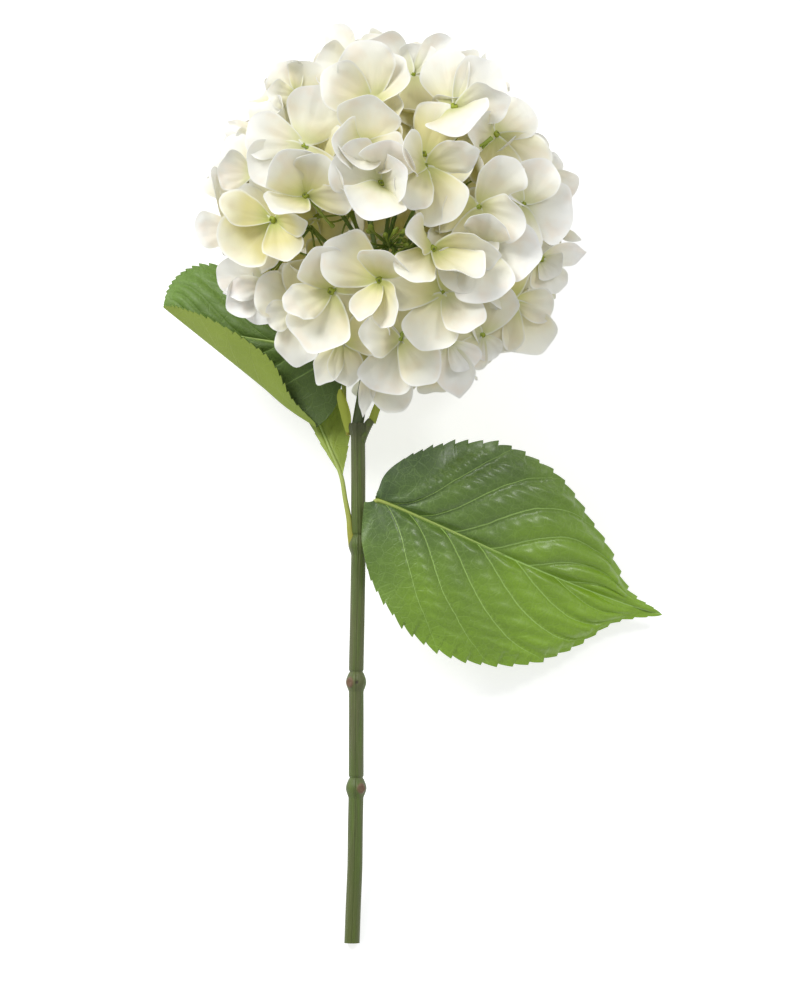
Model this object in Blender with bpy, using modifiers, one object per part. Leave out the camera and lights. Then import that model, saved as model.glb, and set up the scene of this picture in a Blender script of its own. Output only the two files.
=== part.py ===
"""A cut mophead hydrangea, lying on its side on a table.

Every piece is drawn with the flower standing: +X to its right, +Y up the stem from its cut end, +Z out
of its face. The empty "flower" then lays it back on the table, which is the plane z = 0. The head rests
there on the flattened tips of its lowest sepals, and the stem on the rim of its cut end. Metres, +Z up;
a name that ends in _MM holds millimetres.
"""

import math
import random

import bmesh
import bpy
from mathutils import Matrix, Vector

MM = 0.001
SLIVER = 1e-9
SMOOTH_BELOW = math.radians(40.0)

# How the flower lies: the stem climbs from its cut end to the head, which props it up.
LIE_ANGLE = math.radians(13.0)
CUT_END = Vector((-0.0281, -0.2251, 0.0034))

# Stem: heights above the cut end, how far right its axis stands there, and its nodes.
STEM_RADIUS = 0.0035
STEM_FOOT_SHARE = 1.04
STEM_TOP_SHARE = 0.96
STEM_TOP = 0.2560
STEM_AXIS = ((0.0, 0.0), (0.0385, 0.0014), (0.0775, 0.0021), (0.1305, 0.0021), (0.1620, 0.0026),
             (0.1990, 0.0033), (0.2300, 0.0031), (STEM_TOP, 0.0030))
NODE_HEIGHTS = (0.0775, 0.1305, 0.1990, 0.2520)
NODE_SWELL = 0.0014
NODE_HALF_LENGTH = 0.0050
NODE_FULLNESS = 0.7
NODE_SECTIONS = (-1.0, -0.5, -0.1, 0.3, 0.8)
PLAIN_SECTIONS = (0.0, 0.0200, 0.0385, 0.0580, 0.1040, 0.1620, 0.1820, 0.2160, 0.2340, STEM_TOP)
# Leaf scars: height, and bearing round the stem from its face towards its right, in degrees.
SCARS = ((0.1305, 295.0), (0.0775, 40.0), (0.1305, 115.0), (0.0775, 220.0))
SCAR_RADIUS = 0.0019
SCAR_DEPTH = 0.0008
STUB_MM = ((4.5, 247.0, 0.3), (9.9, 259.6, 0.8))
STUB_RADII = (0.0024, 0.0020)

# Flower head: a ball of florets on pedicels, which fork from rays at the end of a peduncle.
HEAD_CENTRE = Vector((0.0190, 0.3610, 0.0030))
HEAD_RADIUS = 0.0815
PEDUNCLE_BASE = Vector((0.0030, STEM_TOP + 0.0003, 0.0))
PEDUNCLE_TOP = Vector((0.0150, 0.3380, 0.0020))
PEDUNCLE_RADIUS = 0.0030
PEDUNCLE_STRAIGHT = 0.004
PEDUNCLE_SHARES = (0.35, 0.7, 1.0)
PEDUNCLE_SWELL = (1.0, 0.96, 0.92, 0.95, 1.15)
RAY_COUNT = 14
RAY_LOW = -0.62
RAY_ROOT = 0.86
RAY_ROOT_RISE = 0.12
RAY_REACH = 0.0430
RAY_RADII = (0.0019, 0.0012)
RAY_SIDES = 4
PEDICEL_RADII = (0.0007, 0.0019)
PEDICEL_SIDES = 4
PEDICEL_SUNK = 0.0010
BUD_HEIGHT = 0.0016
NECK_CLEARANCE = math.radians(24.0)

# The florets of the face, set by hand: right and up from the head's centre in millimetres, how far each
# leans right and up and how far it is spun in degrees, and its size.
FACE_FLORETS = (
    (32, 54, -8, 8, 45, 1.10), (53, 41, 4, 4, 20, 1.00), (-9, 57, 6, 0, 12, 1.06),
    (-13, 34, 0, 6, 80, 1.02), (-4, 15, 0, -6, 55, 1.00), (-43, 35, 4, 0, 60, 1.12),
    (-41, 9, 4, 12, 82, 0.98), (-58, -2, 0, -8, 35, 1.04), (18, 24, 4, 0, 42, 1.10),
    (45, 4, -4, 0, 20, 1.06), (66, 6, 0, -6, 50, 1.04), (21, -17, 6, -4, 8, 1.08),
    (46, -16, 6, -6, 70, 1.02), (-5, -33, -6, 6, 72, 1.04), (-29, -38, -4, 4, 25, 1.08),
    (26, -38, 8, -14, 52, 1.00), (63, -42, -4, 0, 12, 1.04), (-46, -47, 0, -10, 40, 1.00),
    (-62, -34, 0, -4, 75, 1.00), (-69, 22, 0, 0, 30, 1.00), (-46, 61, 0, 0, 50, 1.02),
    (-64, 42, -4, 0, 15, 0.92), (12, 72, 0, 0, 40, 1.00), (-18, 75, 0, 0, 75, 1.02),
    (5, -61, -4, -8, 88, 1.06), (30, -62, 0, -6, 62, 1.00), (46, -58, 0, 0, 30, 1.00),
    (-24, -62, 0, -6, 86, 1.04), (-9, -70, 0, 8, 2, 0.86), (76, 24, 0, 0, 65, 1.04),
    (76, -20, 0, 0, 35, 1.04), (-79, -5, -8, 0, 10, 1.10),
)
FLORET_COUNT = 56
FILL_CANDIDATES = 1200
FILL_FROM_FACE = math.radians(72.0)
FILL_SIZES = (0.92, 1.08)
FILL_SINK = 0.005
FACE_SINK = 0.003
LEAF_CLEARANCE = 0.0260
LEAN = math.radians(10.0)
SEED = 11

# A floret: two outer and two inner sepals round a small bud, the flared end of its pedicel.
SEPAL_LENGTH = 0.0250
SEPAL_HALF_WIDTH = 0.0118
SEPAL_THICKNESS = 0.0007
SEPAL_OUTLINE = ((0.48, -0.84), (0.94, -0.66), (0.94, 0.66), (0.48, 0.84))
NOTCH = (0.0026, 0.0, 0.0014)
OUTER_RISE = math.radians(22.0)
INNER_RISE = math.radians(36.0)
SEPAL_CUP = 0.30
# How far each sepal may differ from its floret's form, in degrees: how it rises, bends and swings.
RISE_SPREAD = (-8, 8)
BEND_SPREAD = (-14, 4)
SWING_SPREAD = (-4, 4)

# Where a sepal meets the table it bends to lie flat, its middle this high, and blends over this depth.
PRESS_FLOOR = 0.00020
PRESS_BLEND = 0.0010
PRESS_REACH = 20.0

# Leaves. Each rail runs from base to tip: right, up and out of the face, in millimetres. The rails are in
# order across the blade, with a toothed margin at each side and the midrib between them.
BLADE_THICKNESS = 0.0008
TOOTH_DEPTH = 0.0013
TOOTH_LEAN = 0.7
TOOTH_ROOM = 0.00325
RIGHT_TEETH = 30
RIGHT_RAILS_MM = (
    ((12, 225, 6.8), (19, 237, 9), (33, 245, 8), (53, 249.5, 3), (80, 247, -6), (105, 231, -14),
     (124, 204, -20), (140, 175, -25), (154, 164.6, -30)),
    ((11.8, 223, 6.8), (20, 228.5, 9), (35, 229, 8.5), (55, 227, 4.5), (79, 221.5, -2.5), (101.5, 208.5, -9.5),
     (121, 190.5, -16.5), (139, 172, -23.5), (154, 164.4, -30)),
    ((11.5, 221.5, 6.0), (20, 219, 5.8), (36, 212, 4.5), (55, 203.5, 1.0), (76, 194, -4.0), (97, 185, -10),
     (118, 176.5, -17), (138, 169, -24), (154, 164.2, -30)),
    ((9, 220.5, 6.8), (12.5, 208.5, 8.5), (23.5, 196, 8.5), (40.5, 181, 6.5), (63, 169, 1.0), (88, 162.5, -6),
     (113, 161, -14), (135, 164.5, -23), (154, 164, -30)),
    ((6, 220.5, 7.2), (5.2, 199, 10), (11.5, 179, 10), (27, 158.5, 8), (50, 144, 2.0), (79, 139.5, -6),
     (107, 146, -14), (131, 160, -22), (154, 163.8, -30)),
)
RIGHT_STALK_MM = ((9.7, 200.2, 1.0), (11.0, 206, 2.0), (11.5, 214, 3.8), (11.9, 221, 5.3), (20, 218.8, 5.2),
                  (36, 212, 3.9), (55, 203.5, 0.5), (76, 194, -4.4))
RIGHT_STALK_RADII_MM = (1.7, 1.5, 1.4, 1.3, 1.2, 1.0, 0.8, 0.6)

LEFT_TEETH = 26
LEFT_RAILS_MM = (
    ((-4.5, 285, -7.5), (-12, 306, -12), (-34, 325, -18), (-56, 337, -24), (-78, 339, -27), (-90, 331.5, -26),
     (-95, 320, -24)),
    ((-4.4, 284.5, -7.5), (-16, 301.5, -8), (-36, 313, -11), (-57, 320, -15), (-76, 325, -19), (-88, 324, -22),
     (-95, 319.6, -24)),
    ((-4.2, 284, -7.5), (-20, 297, -6.5), (-38, 300.5, -8), (-58, 304, -11), (-76, 310.5, -16), (-87, 315, -20),
     (-95, 319.2, -24)),
    ((-9.5, 270, -6.0), (-26, 282, -8.5), (-43, 290, -11.5), (-61, 299, -14.5), (-77, 308, -18.5),
     (-87, 314, -21.5), (-95, 319, -24.2)),
    ((-17, 258.5, -5.0), (-32, 268.0, -9), (-48, 280.9, -12), (-64, 293.7, -15.5), (-78, 304.9, -19.5),
     (-87, 312.1, -22), (-95, 318.6, -24.4)),
    ((-18, 259.2, -3.8), (-33, 272.0, -4), (-46, 288, -3), (-62, 300, -6), (-77, 309, -13.5), (-87, 314.6, -19.5),
     (-95, 318.9, -23.6)),
    ((-18.4, 260.2, -3.2), (-31, 273.0, -1), (-40, 290, 2.5), (-55, 302.5, 1.5), (-74, 313, -7), (-86, 317.5, -16),
     (-94.6, 319.3, -22.8)),
)
LEFT_STALK_MM = ((-1.7, 254.2, -3.4), (-2.9, 262, -6.2), (-4.0, 272, -8.4), (-4.6, 282, -9.0), (-9, 289, -8.9),
                 (-20, 297, -7.3), (-38, 300.5, -8.8), (-58, 304, -11.6))
LEFT_STALK_RADII_MM = (1.25, 1.2, 1.2, 1.2, 1.1, 1.0, 0.8, 0.6)

SMALL_TEETH = 12
SMALL_RAILS_MM = (
    ((-6.4, 234.6, -3.4), (-14, 247, -10), (-21, 259.5, -17), (-28, 272, -24), (-33, 285, -30), (-31.8, 295.5, -34)),
    ((-5.6, 234.6, -3.2), (-11, 247, -9), (-16.5, 260, -16), (-22, 272, -23), (-27.5, 284, -29.5),
     (-31.2, 295.5, -34)),
    ((-4.6, 234.8, -3.4), (-2.6, 246, -10), (-1.5, 258, -17), (-4, 272, -24), (-15, 287, -30), (-30.6, 295.5, -34)),
)
SMALL_STALK_MM = ((-3.45, 200.4, 0.0), (-2.5, 207, -0.2), (-2.3, 212, -0.4), (-3.6, 222, -1.4), (-5.6, 234, -3.6),
                  (-11, 247, -9.4), (-16.5, 260, -16.4), (-22, 272, -23.4))
SMALL_STALK_RADII_MM = (1.5, 1.4, 1.4, 1.3, 1.3, 1.1, 0.8, 0.6)
LEAF_STEPS = 12

BRACT_STEPS = 3
LEFT_BRACT_MM = (
    ((-3.2, 256.0, 0.2), (-5.4, 263.5, 0.7), (-7.3, 272, 0.6), (-6.6, 276, 0.2)),
    ((-1.8, 255.2, 0.8), (-2.8, 264, 2.0), (-4.9, 273, 2.0), (-5.9, 277, 1.2)),
    ((-0.7, 256.6, 1.4), (-0.6, 264, 2.0), (-3.0, 272, 1.8), (-5.2, 276, 1.2)),
)
RIGHT_BRACT_MM = (
    ((8.1, 261.0, 0.4), (9.7, 265.5, 1.0), (11.6, 270, 1.2), (13.2, 273.6, 1.0)),
    ((9.9, 260.2, 1.1), (11.4, 265.0, 2.1), (13.0, 269.6, 2.3), (14.1, 273.1, 1.8)),
    ((11.7, 259.6, 0.6), (13.2, 264.4, 1.3), (14.6, 269, 1.4), (15.1, 272.8, 1.1)),
)

GREEN_STEM = (0.17, 0.24, 0.07, 1.0)
GREEN_LEAF = (0.08, 0.22, 0.05, 1.0)
GREEN_BRACT = (0.36, 0.47, 0.10, 1.0)
CREAM = (0.86, 0.85, 0.76, 1.0)


# ---------------------------------------------------------------- drawing

def clear_scene():
    for obj in list(bpy.data.objects):
        bpy.data.objects.remove(obj, do_unlink=True)


def new_collection(name):
    made = bpy.data.collections.new(name)
    bpy.context.scene.collection.children.link(made)
    return made


def material(name, colour, roughness):
    made = bpy.data.materials.new(name)
    made.use_nodes = True
    shader = made.node_tree.nodes["Principled BSDF"]
    shader.inputs["Base Color"].default_value = colour
    shader.inputs["Roughness"].default_value = roughness
    shader.inputs["Metallic"].default_value = 0.0
    return made


def add_object(name, data, collection, finish):
    obj = bpy.data.objects.new(name, data)
    collection.objects.link(obj)
    data.materials.append(finish)
    return obj


def mesh_from(bm):
    data = bpy.data.meshes.new("shape")
    bm.to_mesh(data)
    bm.free()
    return data


def tube_mesh(points, radii, resolution=2):
    """A closed tapered tube through the points: a bevelled curve welded into a mesh."""
    curve = bpy.data.curves.new("tube", "CURVE")
    curve.dimensions = "3D"
    curve.bevel_depth = 1.0
    curve.bevel_resolution = resolution
    curve.use_fill_caps = True
    spline = curve.splines.new("POLY")
    spline.points.add(len(points) - 1)
    for knot, place, radius in zip(spline.points, points, radii):
        knot.co = (*place, 1.0)
        knot.radius = radius
    guide = bpy.data.objects.new("tube", curve)
    bpy.context.scene.collection.objects.link(guide)
    graph = bpy.context.evaluated_depsgraph_get()
    data = bpy.data.meshes.new_from_object(guide.evaluated_get(graph))
    bpy.data.objects.remove(guide)
    bm = bmesh.new()
    bm.from_mesh(data)
    bmesh.ops.remove_doubles(bm, verts=bm.verts, dist=1e-6)
    bm.to_mesh(data)
    bm.free()
    return data


def cone_between(start, end, radii, sides):
    """A tapered prism from start to end."""
    bm = bmesh.new()
    along = end - start
    turn = along.to_track_quat("Z", "Y").to_matrix().to_4x4()
    place = Matrix.Translation((start + end) / 2) @ turn
    bmesh.ops.create_cone(bm, cap_ends=True, cap_tris=False, segments=sides,
                          radius1=radii[0], radius2=radii[1], depth=along.length, matrix=place)
    return mesh_from(bm)


def ball_mesh(centre, radius):
    bm = bmesh.new()
    bmesh.ops.create_icosphere(bm, subdivisions=1, radius=radius, matrix=Matrix.Translation(centre))
    return mesh_from(bm)


def apply_modifiers(obj):
    bpy.context.view_layer.update()
    graph = bpy.context.evaluated_depsgraph_get()
    data = bpy.data.meshes.new_from_object(obj.evaluated_get(graph))
    obj.modifiers.clear()
    obj.data = data


def combine(base, parts, operation="UNION"):
    """Joins every object of the collection to base, or cuts them from it, and removes them."""
    boolean = base.modifiers.new("join", "BOOLEAN")
    boolean.operation = operation
    boolean.operand_type = "COLLECTION"
    boolean.collection = parts
    boolean.solver = "MANIFOLD"
    apply_modifiers(base)
    for obj in list(parts.objects):
        bpy.data.objects.remove(obj, do_unlink=True)
    bpy.data.collections.remove(parts)


def keep_outer_body(obj):
    """Drops loose scraps and fills hollows that the union sealed: only the largest surface stays."""
    bm = bmesh.new()
    bm.from_mesh(obj.data)
    bmesh.ops.triangulate(bm, faces=bm.faces)
    bmesh.ops.remove_doubles(bm, verts=bm.verts, dist=SLIVER)
    waiting, shells = set(bm.faces), []
    while waiting:
        shell, front = set(), [waiting.pop()]
        while front:
            face = front.pop()
            shell.add(face)
            joins = [edge for edge in face.edges if len(edge.link_faces) == 2]
            near = {other for edge in joins for other in edge.link_faces} & waiting
            waiting -= near
            front.extend(near)
        shells.append(shell)
    largest = max(shells, key=len)
    scraps = [face for shell in shells if shell is not largest for face in shell]
    bmesh.ops.delete(bm, geom=scraps, context="FACES")
    bm.to_mesh(obj.data)
    bm.free()


def in_metres(points_mm):
    return [Vector(point) * MM for point in points_mm]


def smooth_along(points, share):
    """The place a share of the way along a smooth curve through the points."""
    spot = share * (len(points) - 1)
    i = min(int(spot), len(points) - 2)
    f = spot - i
    b, c = points[i], points[i + 1]
    a = points[i - 1] if i > 0 else b * 2 - c
    d = points[i + 2] if i + 2 < len(points) else c * 2 - b
    return 0.5 * (2 * b + (c - a) * f + (2 * a - 5 * b + 4 * c - d) * f * f
                  + (3 * b - a - 3 * c + d) * f * f * f)


# ---------------------------------------------------------------- how the flower lies

LYING = Matrix.Translation(CUT_END) @ Matrix.Rotation(LIE_ANGLE, 4, "X")
STANDING = LYING.inverted()


def pressed(point):
    """The place of a sepal's point once the table holds it up."""
    lying = LYING @ point
    depth = (lying.z - PRESS_FLOOR) / PRESS_BLEND
    if depth < PRESS_REACH:
        lying.z = PRESS_FLOOR + PRESS_BLEND * math.log1p(math.exp(depth))
    return STANDING @ lying


# ---------------------------------------------------------------- stem

def stem_axis(height):
    """How far right the stem's axis stands at this height."""
    for (low, x_low), (high, x_high) in zip(STEM_AXIS, STEM_AXIS[1:]):
        if height <= high:
            return x_low + (x_high - x_low) * (height - low) / (high - low)
    return STEM_AXIS[-1][1]


def stem_radius(height):
    """The stem is a little thicker at its foot, and swells into a collar at each node."""
    share = height / STEM_TOP
    radius = STEM_RADIUS * (STEM_FOOT_SHARE + (STEM_TOP_SHARE - STEM_FOOT_SHARE) * share)
    for node in NODE_HEIGHTS:
        away = abs(height - node) / NODE_HALF_LENGTH
        if away < 1.0:
            radius += NODE_SWELL * (0.5 + 0.5 * math.cos(math.pi * away)) ** NODE_FULLNESS
    return radius


def make_stem(collection, finish):
    heights = set(PLAIN_SECTIONS)
    for node in NODE_HEIGHTS:
        heights |= {min(STEM_TOP, node + share * NODE_HALF_LENGTH) for share in NODE_SECTIONS}
    heights = sorted(heights)
    path = [Vector((stem_axis(h), h, 0.0)) for h in heights]
    stem = add_object("stem", tube_mesh(path, [stem_radius(h) for h in heights], resolution=3),
                      collection, finish)
    extras = new_collection("scars and stub")
    for height, bearing in SCARS:
        turn = math.radians(bearing)
        out = Vector((math.sin(turn), 0.0, math.cos(turn)))
        centre = Vector((stem_axis(height), height, 0.0)) + out * (stem_radius(height) - SCAR_DEPTH)
        add_object("scar", ball_mesh(centre, SCAR_RADIUS), extras, finish)
    foot, tip = in_metres(STUB_MM)
    add_object("stub", cone_between(foot, tip, STUB_RADII, 8), extras, finish)
    combine(stem, extras)
    return stem


# ---------------------------------------------------------------- leaves

def leaf_grid(rails, teeth, toothed):
    """The blade's middle surface: a grid whose rows follow the rails, with teeth along both margins."""
    columns, rows = 2 * teeth, len(rails) - 1
    bm = bmesh.new()
    bmesh.ops.create_grid(bm, x_segments=columns, y_segments=rows, size=0.5)
    for vert in bm.verts:
        column, row = round((vert.co.x + 0.5) * columns), round((vert.co.y + 0.5) * rows)
        share = column / columns
        place = smooth_along(rails[row], share)
        if toothed and row in (0, rows) and column % 2 == 1:
            inner = smooth_along(rails[1 if row == 0 else rows - 1], share)
            ahead = smooth_along(rails[row], share + TOOTH_LEAN / columns)
            depth = TOOTH_DEPTH * min(1.0, (place - inner).length / TOOTH_ROOM)
            place = ahead + (place - inner).normalized() * depth
        vert.co = place
    bmesh.ops.triangulate(bm, faces=bm.faces, quad_method="FIXED")
    return bm


def make_leaf(name, rails_mm, teeth, collection, finish, stalk_mm=(), stalk_radii_mm=(), toothed=True):
    rails = [in_metres(rail) for rail in rails_mm]
    leaf = add_object(name, mesh_from(leaf_grid(rails, teeth, toothed)), collection, finish)
    blade = leaf.modifiers.new("blade", "SOLIDIFY")
    blade.thickness = BLADE_THICKNESS
    blade.offset = 0.0
    blade.use_even_offset = True
    apply_modifiers(leaf)
    if stalk_mm:
        stalk = new_collection("stalk")
        radii = [radius * MM for radius in stalk_radii_mm]
        add_object("stalk", tube_mesh(in_metres(stalk_mm), radii, resolution=1), stalk, finish)
        combine(leaf, stalk)
        keep_outer_body(leaf)
    return leaf


def leaf_points():
    """Places on the leaves, for the florets to keep clear of."""
    points = []
    for rails_mm in (LEFT_RAILS_MM, SMALL_RAILS_MM):
        for rail in rails_mm:
            points += [smooth_along(in_metres(rail), i / LEAF_STEPS) for i in range(LEAF_STEPS + 1)]
    return points


# ---------------------------------------------------------------- flower head

def spread(count, low, high):
    """Directions spread evenly round +Y, between two heights on the unit ball."""
    golden = math.pi * (3.0 - math.sqrt(5.0))
    for i in range(count):
        height = high + (low - high) * (i + 0.5) / count
        reach = math.sqrt(1.0 - height * height)
        yield Vector((reach * math.cos(golden * i), height, reach * math.sin(golden * i)))


def floret_frames():
    """Each floret's frame and size: its origin is under the bud and +Z is the way it faces. Those of the
    face come first; the rest go one after the other wherever the ball is barest."""
    draw = random.Random(SEED)
    ways, frames = [], []
    for right, up, lean_right, lean_up, spin, size in FACE_FLORETS:
        flat = Vector((right, up, 0)) * MM
        out = math.sqrt(max(HEAD_RADIUS ** 2 - flat.length_squared, 0.0))
        way = (flat + Vector((0, 0, out))).normalized()
        ways.append(way)
        face = way + Vector((math.radians(lean_right), math.radians(lean_up), 0.0))
        frames.append((way, face.normalized(), math.radians(spin), size, draw.uniform(0.0, FACE_SINK)))
    leaves = leaf_points()
    neck = (PEDUNCLE_BASE - HEAD_CENTRE).normalized()
    front = Vector((0, 0, 1))
    candidates = []
    for way in spread(FILL_CANDIDATES, -1.0, 1.0):
        bud = HEAD_CENTRE + way * HEAD_RADIUS
        clear = min((bud - point).length for point in leaves) > LEAF_CLEARANCE
        if clear and way.angle(neck) > NECK_CLEARANCE and way.angle(front) > FILL_FROM_FACE:
            candidates.append(way)
    nearest = [min(way.angle(other) for other in ways) for way in candidates]
    while len(frames) < FLORET_COUNT:
        way = candidates[nearest.index(max(nearest))]
        nearest = [min(gap, other.angle(way)) for gap, other in zip(nearest, candidates)]
        lean = Vector([draw.uniform(-1, 1) for _ in range(3)]) * math.sin(LEAN)
        frames.append((way, (way + lean).normalized(), draw.uniform(0, math.pi),
                       draw.uniform(*FILL_SIZES), draw.uniform(0.0, FILL_SINK)))
    placed = []
    for way, face, spin, size, sink in frames:
        across = Vector((1, 0, 0)) if abs(face.x) < 0.9 else Vector((0, 1, 0))
        across = (across - face * across.dot(face)).normalized()
        turn = Matrix((across, face.cross(across), face)).transposed().to_4x4()
        centre = HEAD_CENTRE + way * (HEAD_RADIUS - sink)
        placed.append((Matrix.Translation(centre) @ turn @ Matrix.Rotation(spin, 4, "Z"), size))
    return placed


def sepal_point(along, across, rise, bend, size):
    """A point of a sepal's middle surface: it rises from the bud, curves, and is cupped across."""
    length = SEPAL_LENGTH * size * along
    angle = rise + bend * along
    side = SEPAL_HALF_WIDTH * size * across
    lift = length * math.sin(angle) + SEPAL_CUP * abs(side) * along
    return Vector((length * math.cos(angle), side, lift))


def split_at(bm, corner, others):
    """Splits the faces round a corner by a cut from it to each of the others."""
    for other in others:
        shared = [face for face in corner.link_faces if other in face.verts]
        if len(shared) == 1:
            bmesh.utils.face_split(shared[0], corner, other)


def floret_mesh(frame, size, draw):
    """The middle surface of four cupped sepals that meet in a small square under the bud."""
    bm = bmesh.new()
    points = len(SEPAL_OUTLINE) + 1
    bmesh.ops.create_circle(bm, cap_ends=True, segments=4 * points, radius=1.0)
    rim = sorted(bm.verts, key=lambda v: math.atan2(v.co.y, v.co.x))
    for quarter in range(4):
        rise = (INNER_RISE if quarter % 2 else OUTER_RISE) + math.radians(draw.uniform(*RISE_SPREAD))
        bend = math.radians(draw.uniform(*BEND_SPREAD))
        swing = math.radians(draw.uniform(*SWING_SPREAD))
        notch = Matrix.Rotation(math.radians(90 * quarter - 45), 4, "Z")
        turn = Matrix.Rotation(math.radians(90 * quarter) + swing, 4, "Z")
        places = [notch @ Vector(NOTCH)]
        places += [turn @ sepal_point(along, across, rise, bend, size) for along, across in SEPAL_OUTLINE]
        for vert, place in zip(rim[quarter * points:], places):
            vert.co = pressed(frame @ place)
    for quarter in range(4):
        sepal = (rim + rim[:1])[quarter * points:(quarter + 1) * points + 1]
        split_at(bm, sepal[0], sepal[-1:])
        split_at(bm, sepal[2], sepal[:1])
        split_at(bm, sepal[3], sepal[-1:])
    split_at(bm, rim[0], [rim[2 * points]])
    return mesh_from(bm)


def make_head(collection, finish):
    draw = random.Random(SEED + 1)
    path = [PEDUNCLE_BASE, PEDUNCLE_BASE + Vector((0.0, PEDUNCLE_STRAIGHT, 0.0))]
    path += [PEDUNCLE_BASE.lerp(PEDUNCLE_TOP, share) for share in PEDUNCLE_SHARES]
    radii = [PEDUNCLE_RADIUS * swell for swell in PEDUNCLE_SWELL]
    head = add_object("flower_head", tube_mesh(path, radii, resolution=1), collection, finish)
    parts = new_collection("sprays")
    forks = []
    for way in spread(RAY_COUNT, RAY_LOW, 1.0):
        fork = HEAD_CENTRE + way * RAY_REACH
        start = PEDUNCLE_BASE.lerp(PEDUNCLE_TOP, RAY_ROOT + RAY_ROOT_RISE * max(way.y, 0.0))
        forks.append(fork)
        add_object("ray", cone_between(start, fork, RAY_RADII, RAY_SIDES), parts, finish)
    for frame, size in floret_frames():
        bud = frame.translation
        fork = min(forks, key=lambda point: (point - bud).length)
        root = fork - (bud - fork).normalized() * PEDICEL_SUNK
        eye = bud + (bud - fork).normalized() * BUD_HEIGHT
        add_object("pedicel", cone_between(root, eye, PEDICEL_RADII, PEDICEL_SIDES), parts, finish)
        sepals = add_object("sepals", floret_mesh(frame, size, draw), parts, finish)
        blade = sepals.modifiers.new("blade", "SOLIDIFY")
        blade.thickness = SEPAL_THICKNESS
        blade.offset = 0.0
    combine(head, parts)
    table = new_collection("table")
    bm = bmesh.new()
    bmesh.ops.create_cube(bm, size=0.5, matrix=STANDING @ Matrix.Translation((0, 0, -0.25)))
    add_object("under the table", mesh_from(bm), table, finish)
    combine(head, table, "DIFFERENCE")
    keep_outer_body(head)
    return head


def main():
    clear_scene()
    flower = new_collection("hydrangea")
    stem_finish = material("stem", GREEN_STEM, 0.5)
    leaf_finish = material("leaf", GREEN_LEAF, 0.4)
    bract_finish = material("bract", GREEN_BRACT, 0.5)
    petal_finish = material("sepal", CREAM, 0.6)
    pieces = [
        make_stem(flower, stem_finish),
        make_head(flower, petal_finish),
        make_leaf("leaf_right", RIGHT_RAILS_MM, RIGHT_TEETH, flower, leaf_finish,
                  RIGHT_STALK_MM, RIGHT_STALK_RADII_MM),
        make_leaf("leaf_left", LEFT_RAILS_MM, LEFT_TEETH, flower, leaf_finish,
                  LEFT_STALK_MM, LEFT_STALK_RADII_MM),
        make_leaf("leaf_small", SMALL_RAILS_MM, SMALL_TEETH, flower, leaf_finish,
                  SMALL_STALK_MM, SMALL_STALK_RADII_MM),
        make_leaf("bract_left", LEFT_BRACT_MM, BRACT_STEPS, flower, bract_finish, toothed=False),
        make_leaf("bract_right", RIGHT_BRACT_MM, BRACT_STEPS, flower, bract_finish, toothed=False),
    ]
    lying = bpy.data.objects.new("flower", None)
    flower.objects.link(lying)
    lying.matrix_world = LYING
    for piece in pieces:
        piece.parent = lying
        piece.data.shade_smooth()
        piece.data.set_sharp_from_angle(angle=SMOOTH_BELOW)


main()
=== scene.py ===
"""How a cut mophead hydrangea looks, lying on its side on a pale table.

Every piece is drawn with the flower standing, as in the part's own source: +X to its right, +Y up the stem
from its cut end, +Z out of its face, in metres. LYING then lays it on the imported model. The florets' places,
the leaves' rails and the stem's sections are the part's own, and each gets a finer surface here.
"""

import math
import random

import bpy
import numpy as np
from mathutils import Matrix, Vector


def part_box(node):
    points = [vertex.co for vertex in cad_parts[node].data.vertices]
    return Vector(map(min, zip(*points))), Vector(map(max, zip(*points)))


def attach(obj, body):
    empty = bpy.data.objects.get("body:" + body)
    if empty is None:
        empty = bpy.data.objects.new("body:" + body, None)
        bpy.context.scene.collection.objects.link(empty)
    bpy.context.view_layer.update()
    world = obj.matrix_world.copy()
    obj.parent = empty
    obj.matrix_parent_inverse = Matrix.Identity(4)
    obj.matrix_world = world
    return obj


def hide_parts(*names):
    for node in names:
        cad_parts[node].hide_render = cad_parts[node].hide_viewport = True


MM = 0.001

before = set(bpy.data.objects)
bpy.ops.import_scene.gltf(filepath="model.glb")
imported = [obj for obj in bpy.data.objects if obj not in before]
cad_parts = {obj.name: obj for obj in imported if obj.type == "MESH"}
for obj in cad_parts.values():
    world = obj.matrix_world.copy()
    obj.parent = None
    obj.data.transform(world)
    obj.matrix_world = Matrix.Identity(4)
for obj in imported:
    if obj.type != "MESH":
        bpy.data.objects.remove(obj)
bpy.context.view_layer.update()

# ---------------------------------------------------------------- sizes shared with the part

LIE_ANGLE = math.radians(13.0)
FOOT_FROM_BOX = Vector((0.00364, 0.00082, 0.00338))
CUT_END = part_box("stem")[0] + FOOT_FROM_BOX
LYING = Matrix.Translation(CUT_END) @ Matrix.Rotation(LIE_ANGLE, 4, "X")
STANDING = LYING.inverted()

STEM_RADIUS = 0.0035
STEM_FOOT_SHARE = 1.04
STEM_TOP_SHARE = 0.96
STEM_TOP = 0.2560
BARK_TOP = 0.2600
BARK_LAYER = 0.0002
STEM_AXIS = ((0.0, 0.0), (0.0385, 0.0014), (0.0775, 0.0021), (0.1305, 0.0021), (0.1620, 0.0026),
             (0.1990, 0.0033), (0.2300, 0.0031), (STEM_TOP, 0.0030))
NODE_HEIGHTS = (0.0775, 0.1305, 0.1990, 0.2580)
NODE_SWELL = 0.0014
NODE_HALF_LENGTH = 0.0050
NODE_FULLNESS = 0.7
# The groove above each node: how deep, how far over the node's middle, and its half breadth.
GROOVE_DEPTH = 0.00045
GROOVE_RISE = 0.0052
GROOVE_BREADTH = 0.0006
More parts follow.
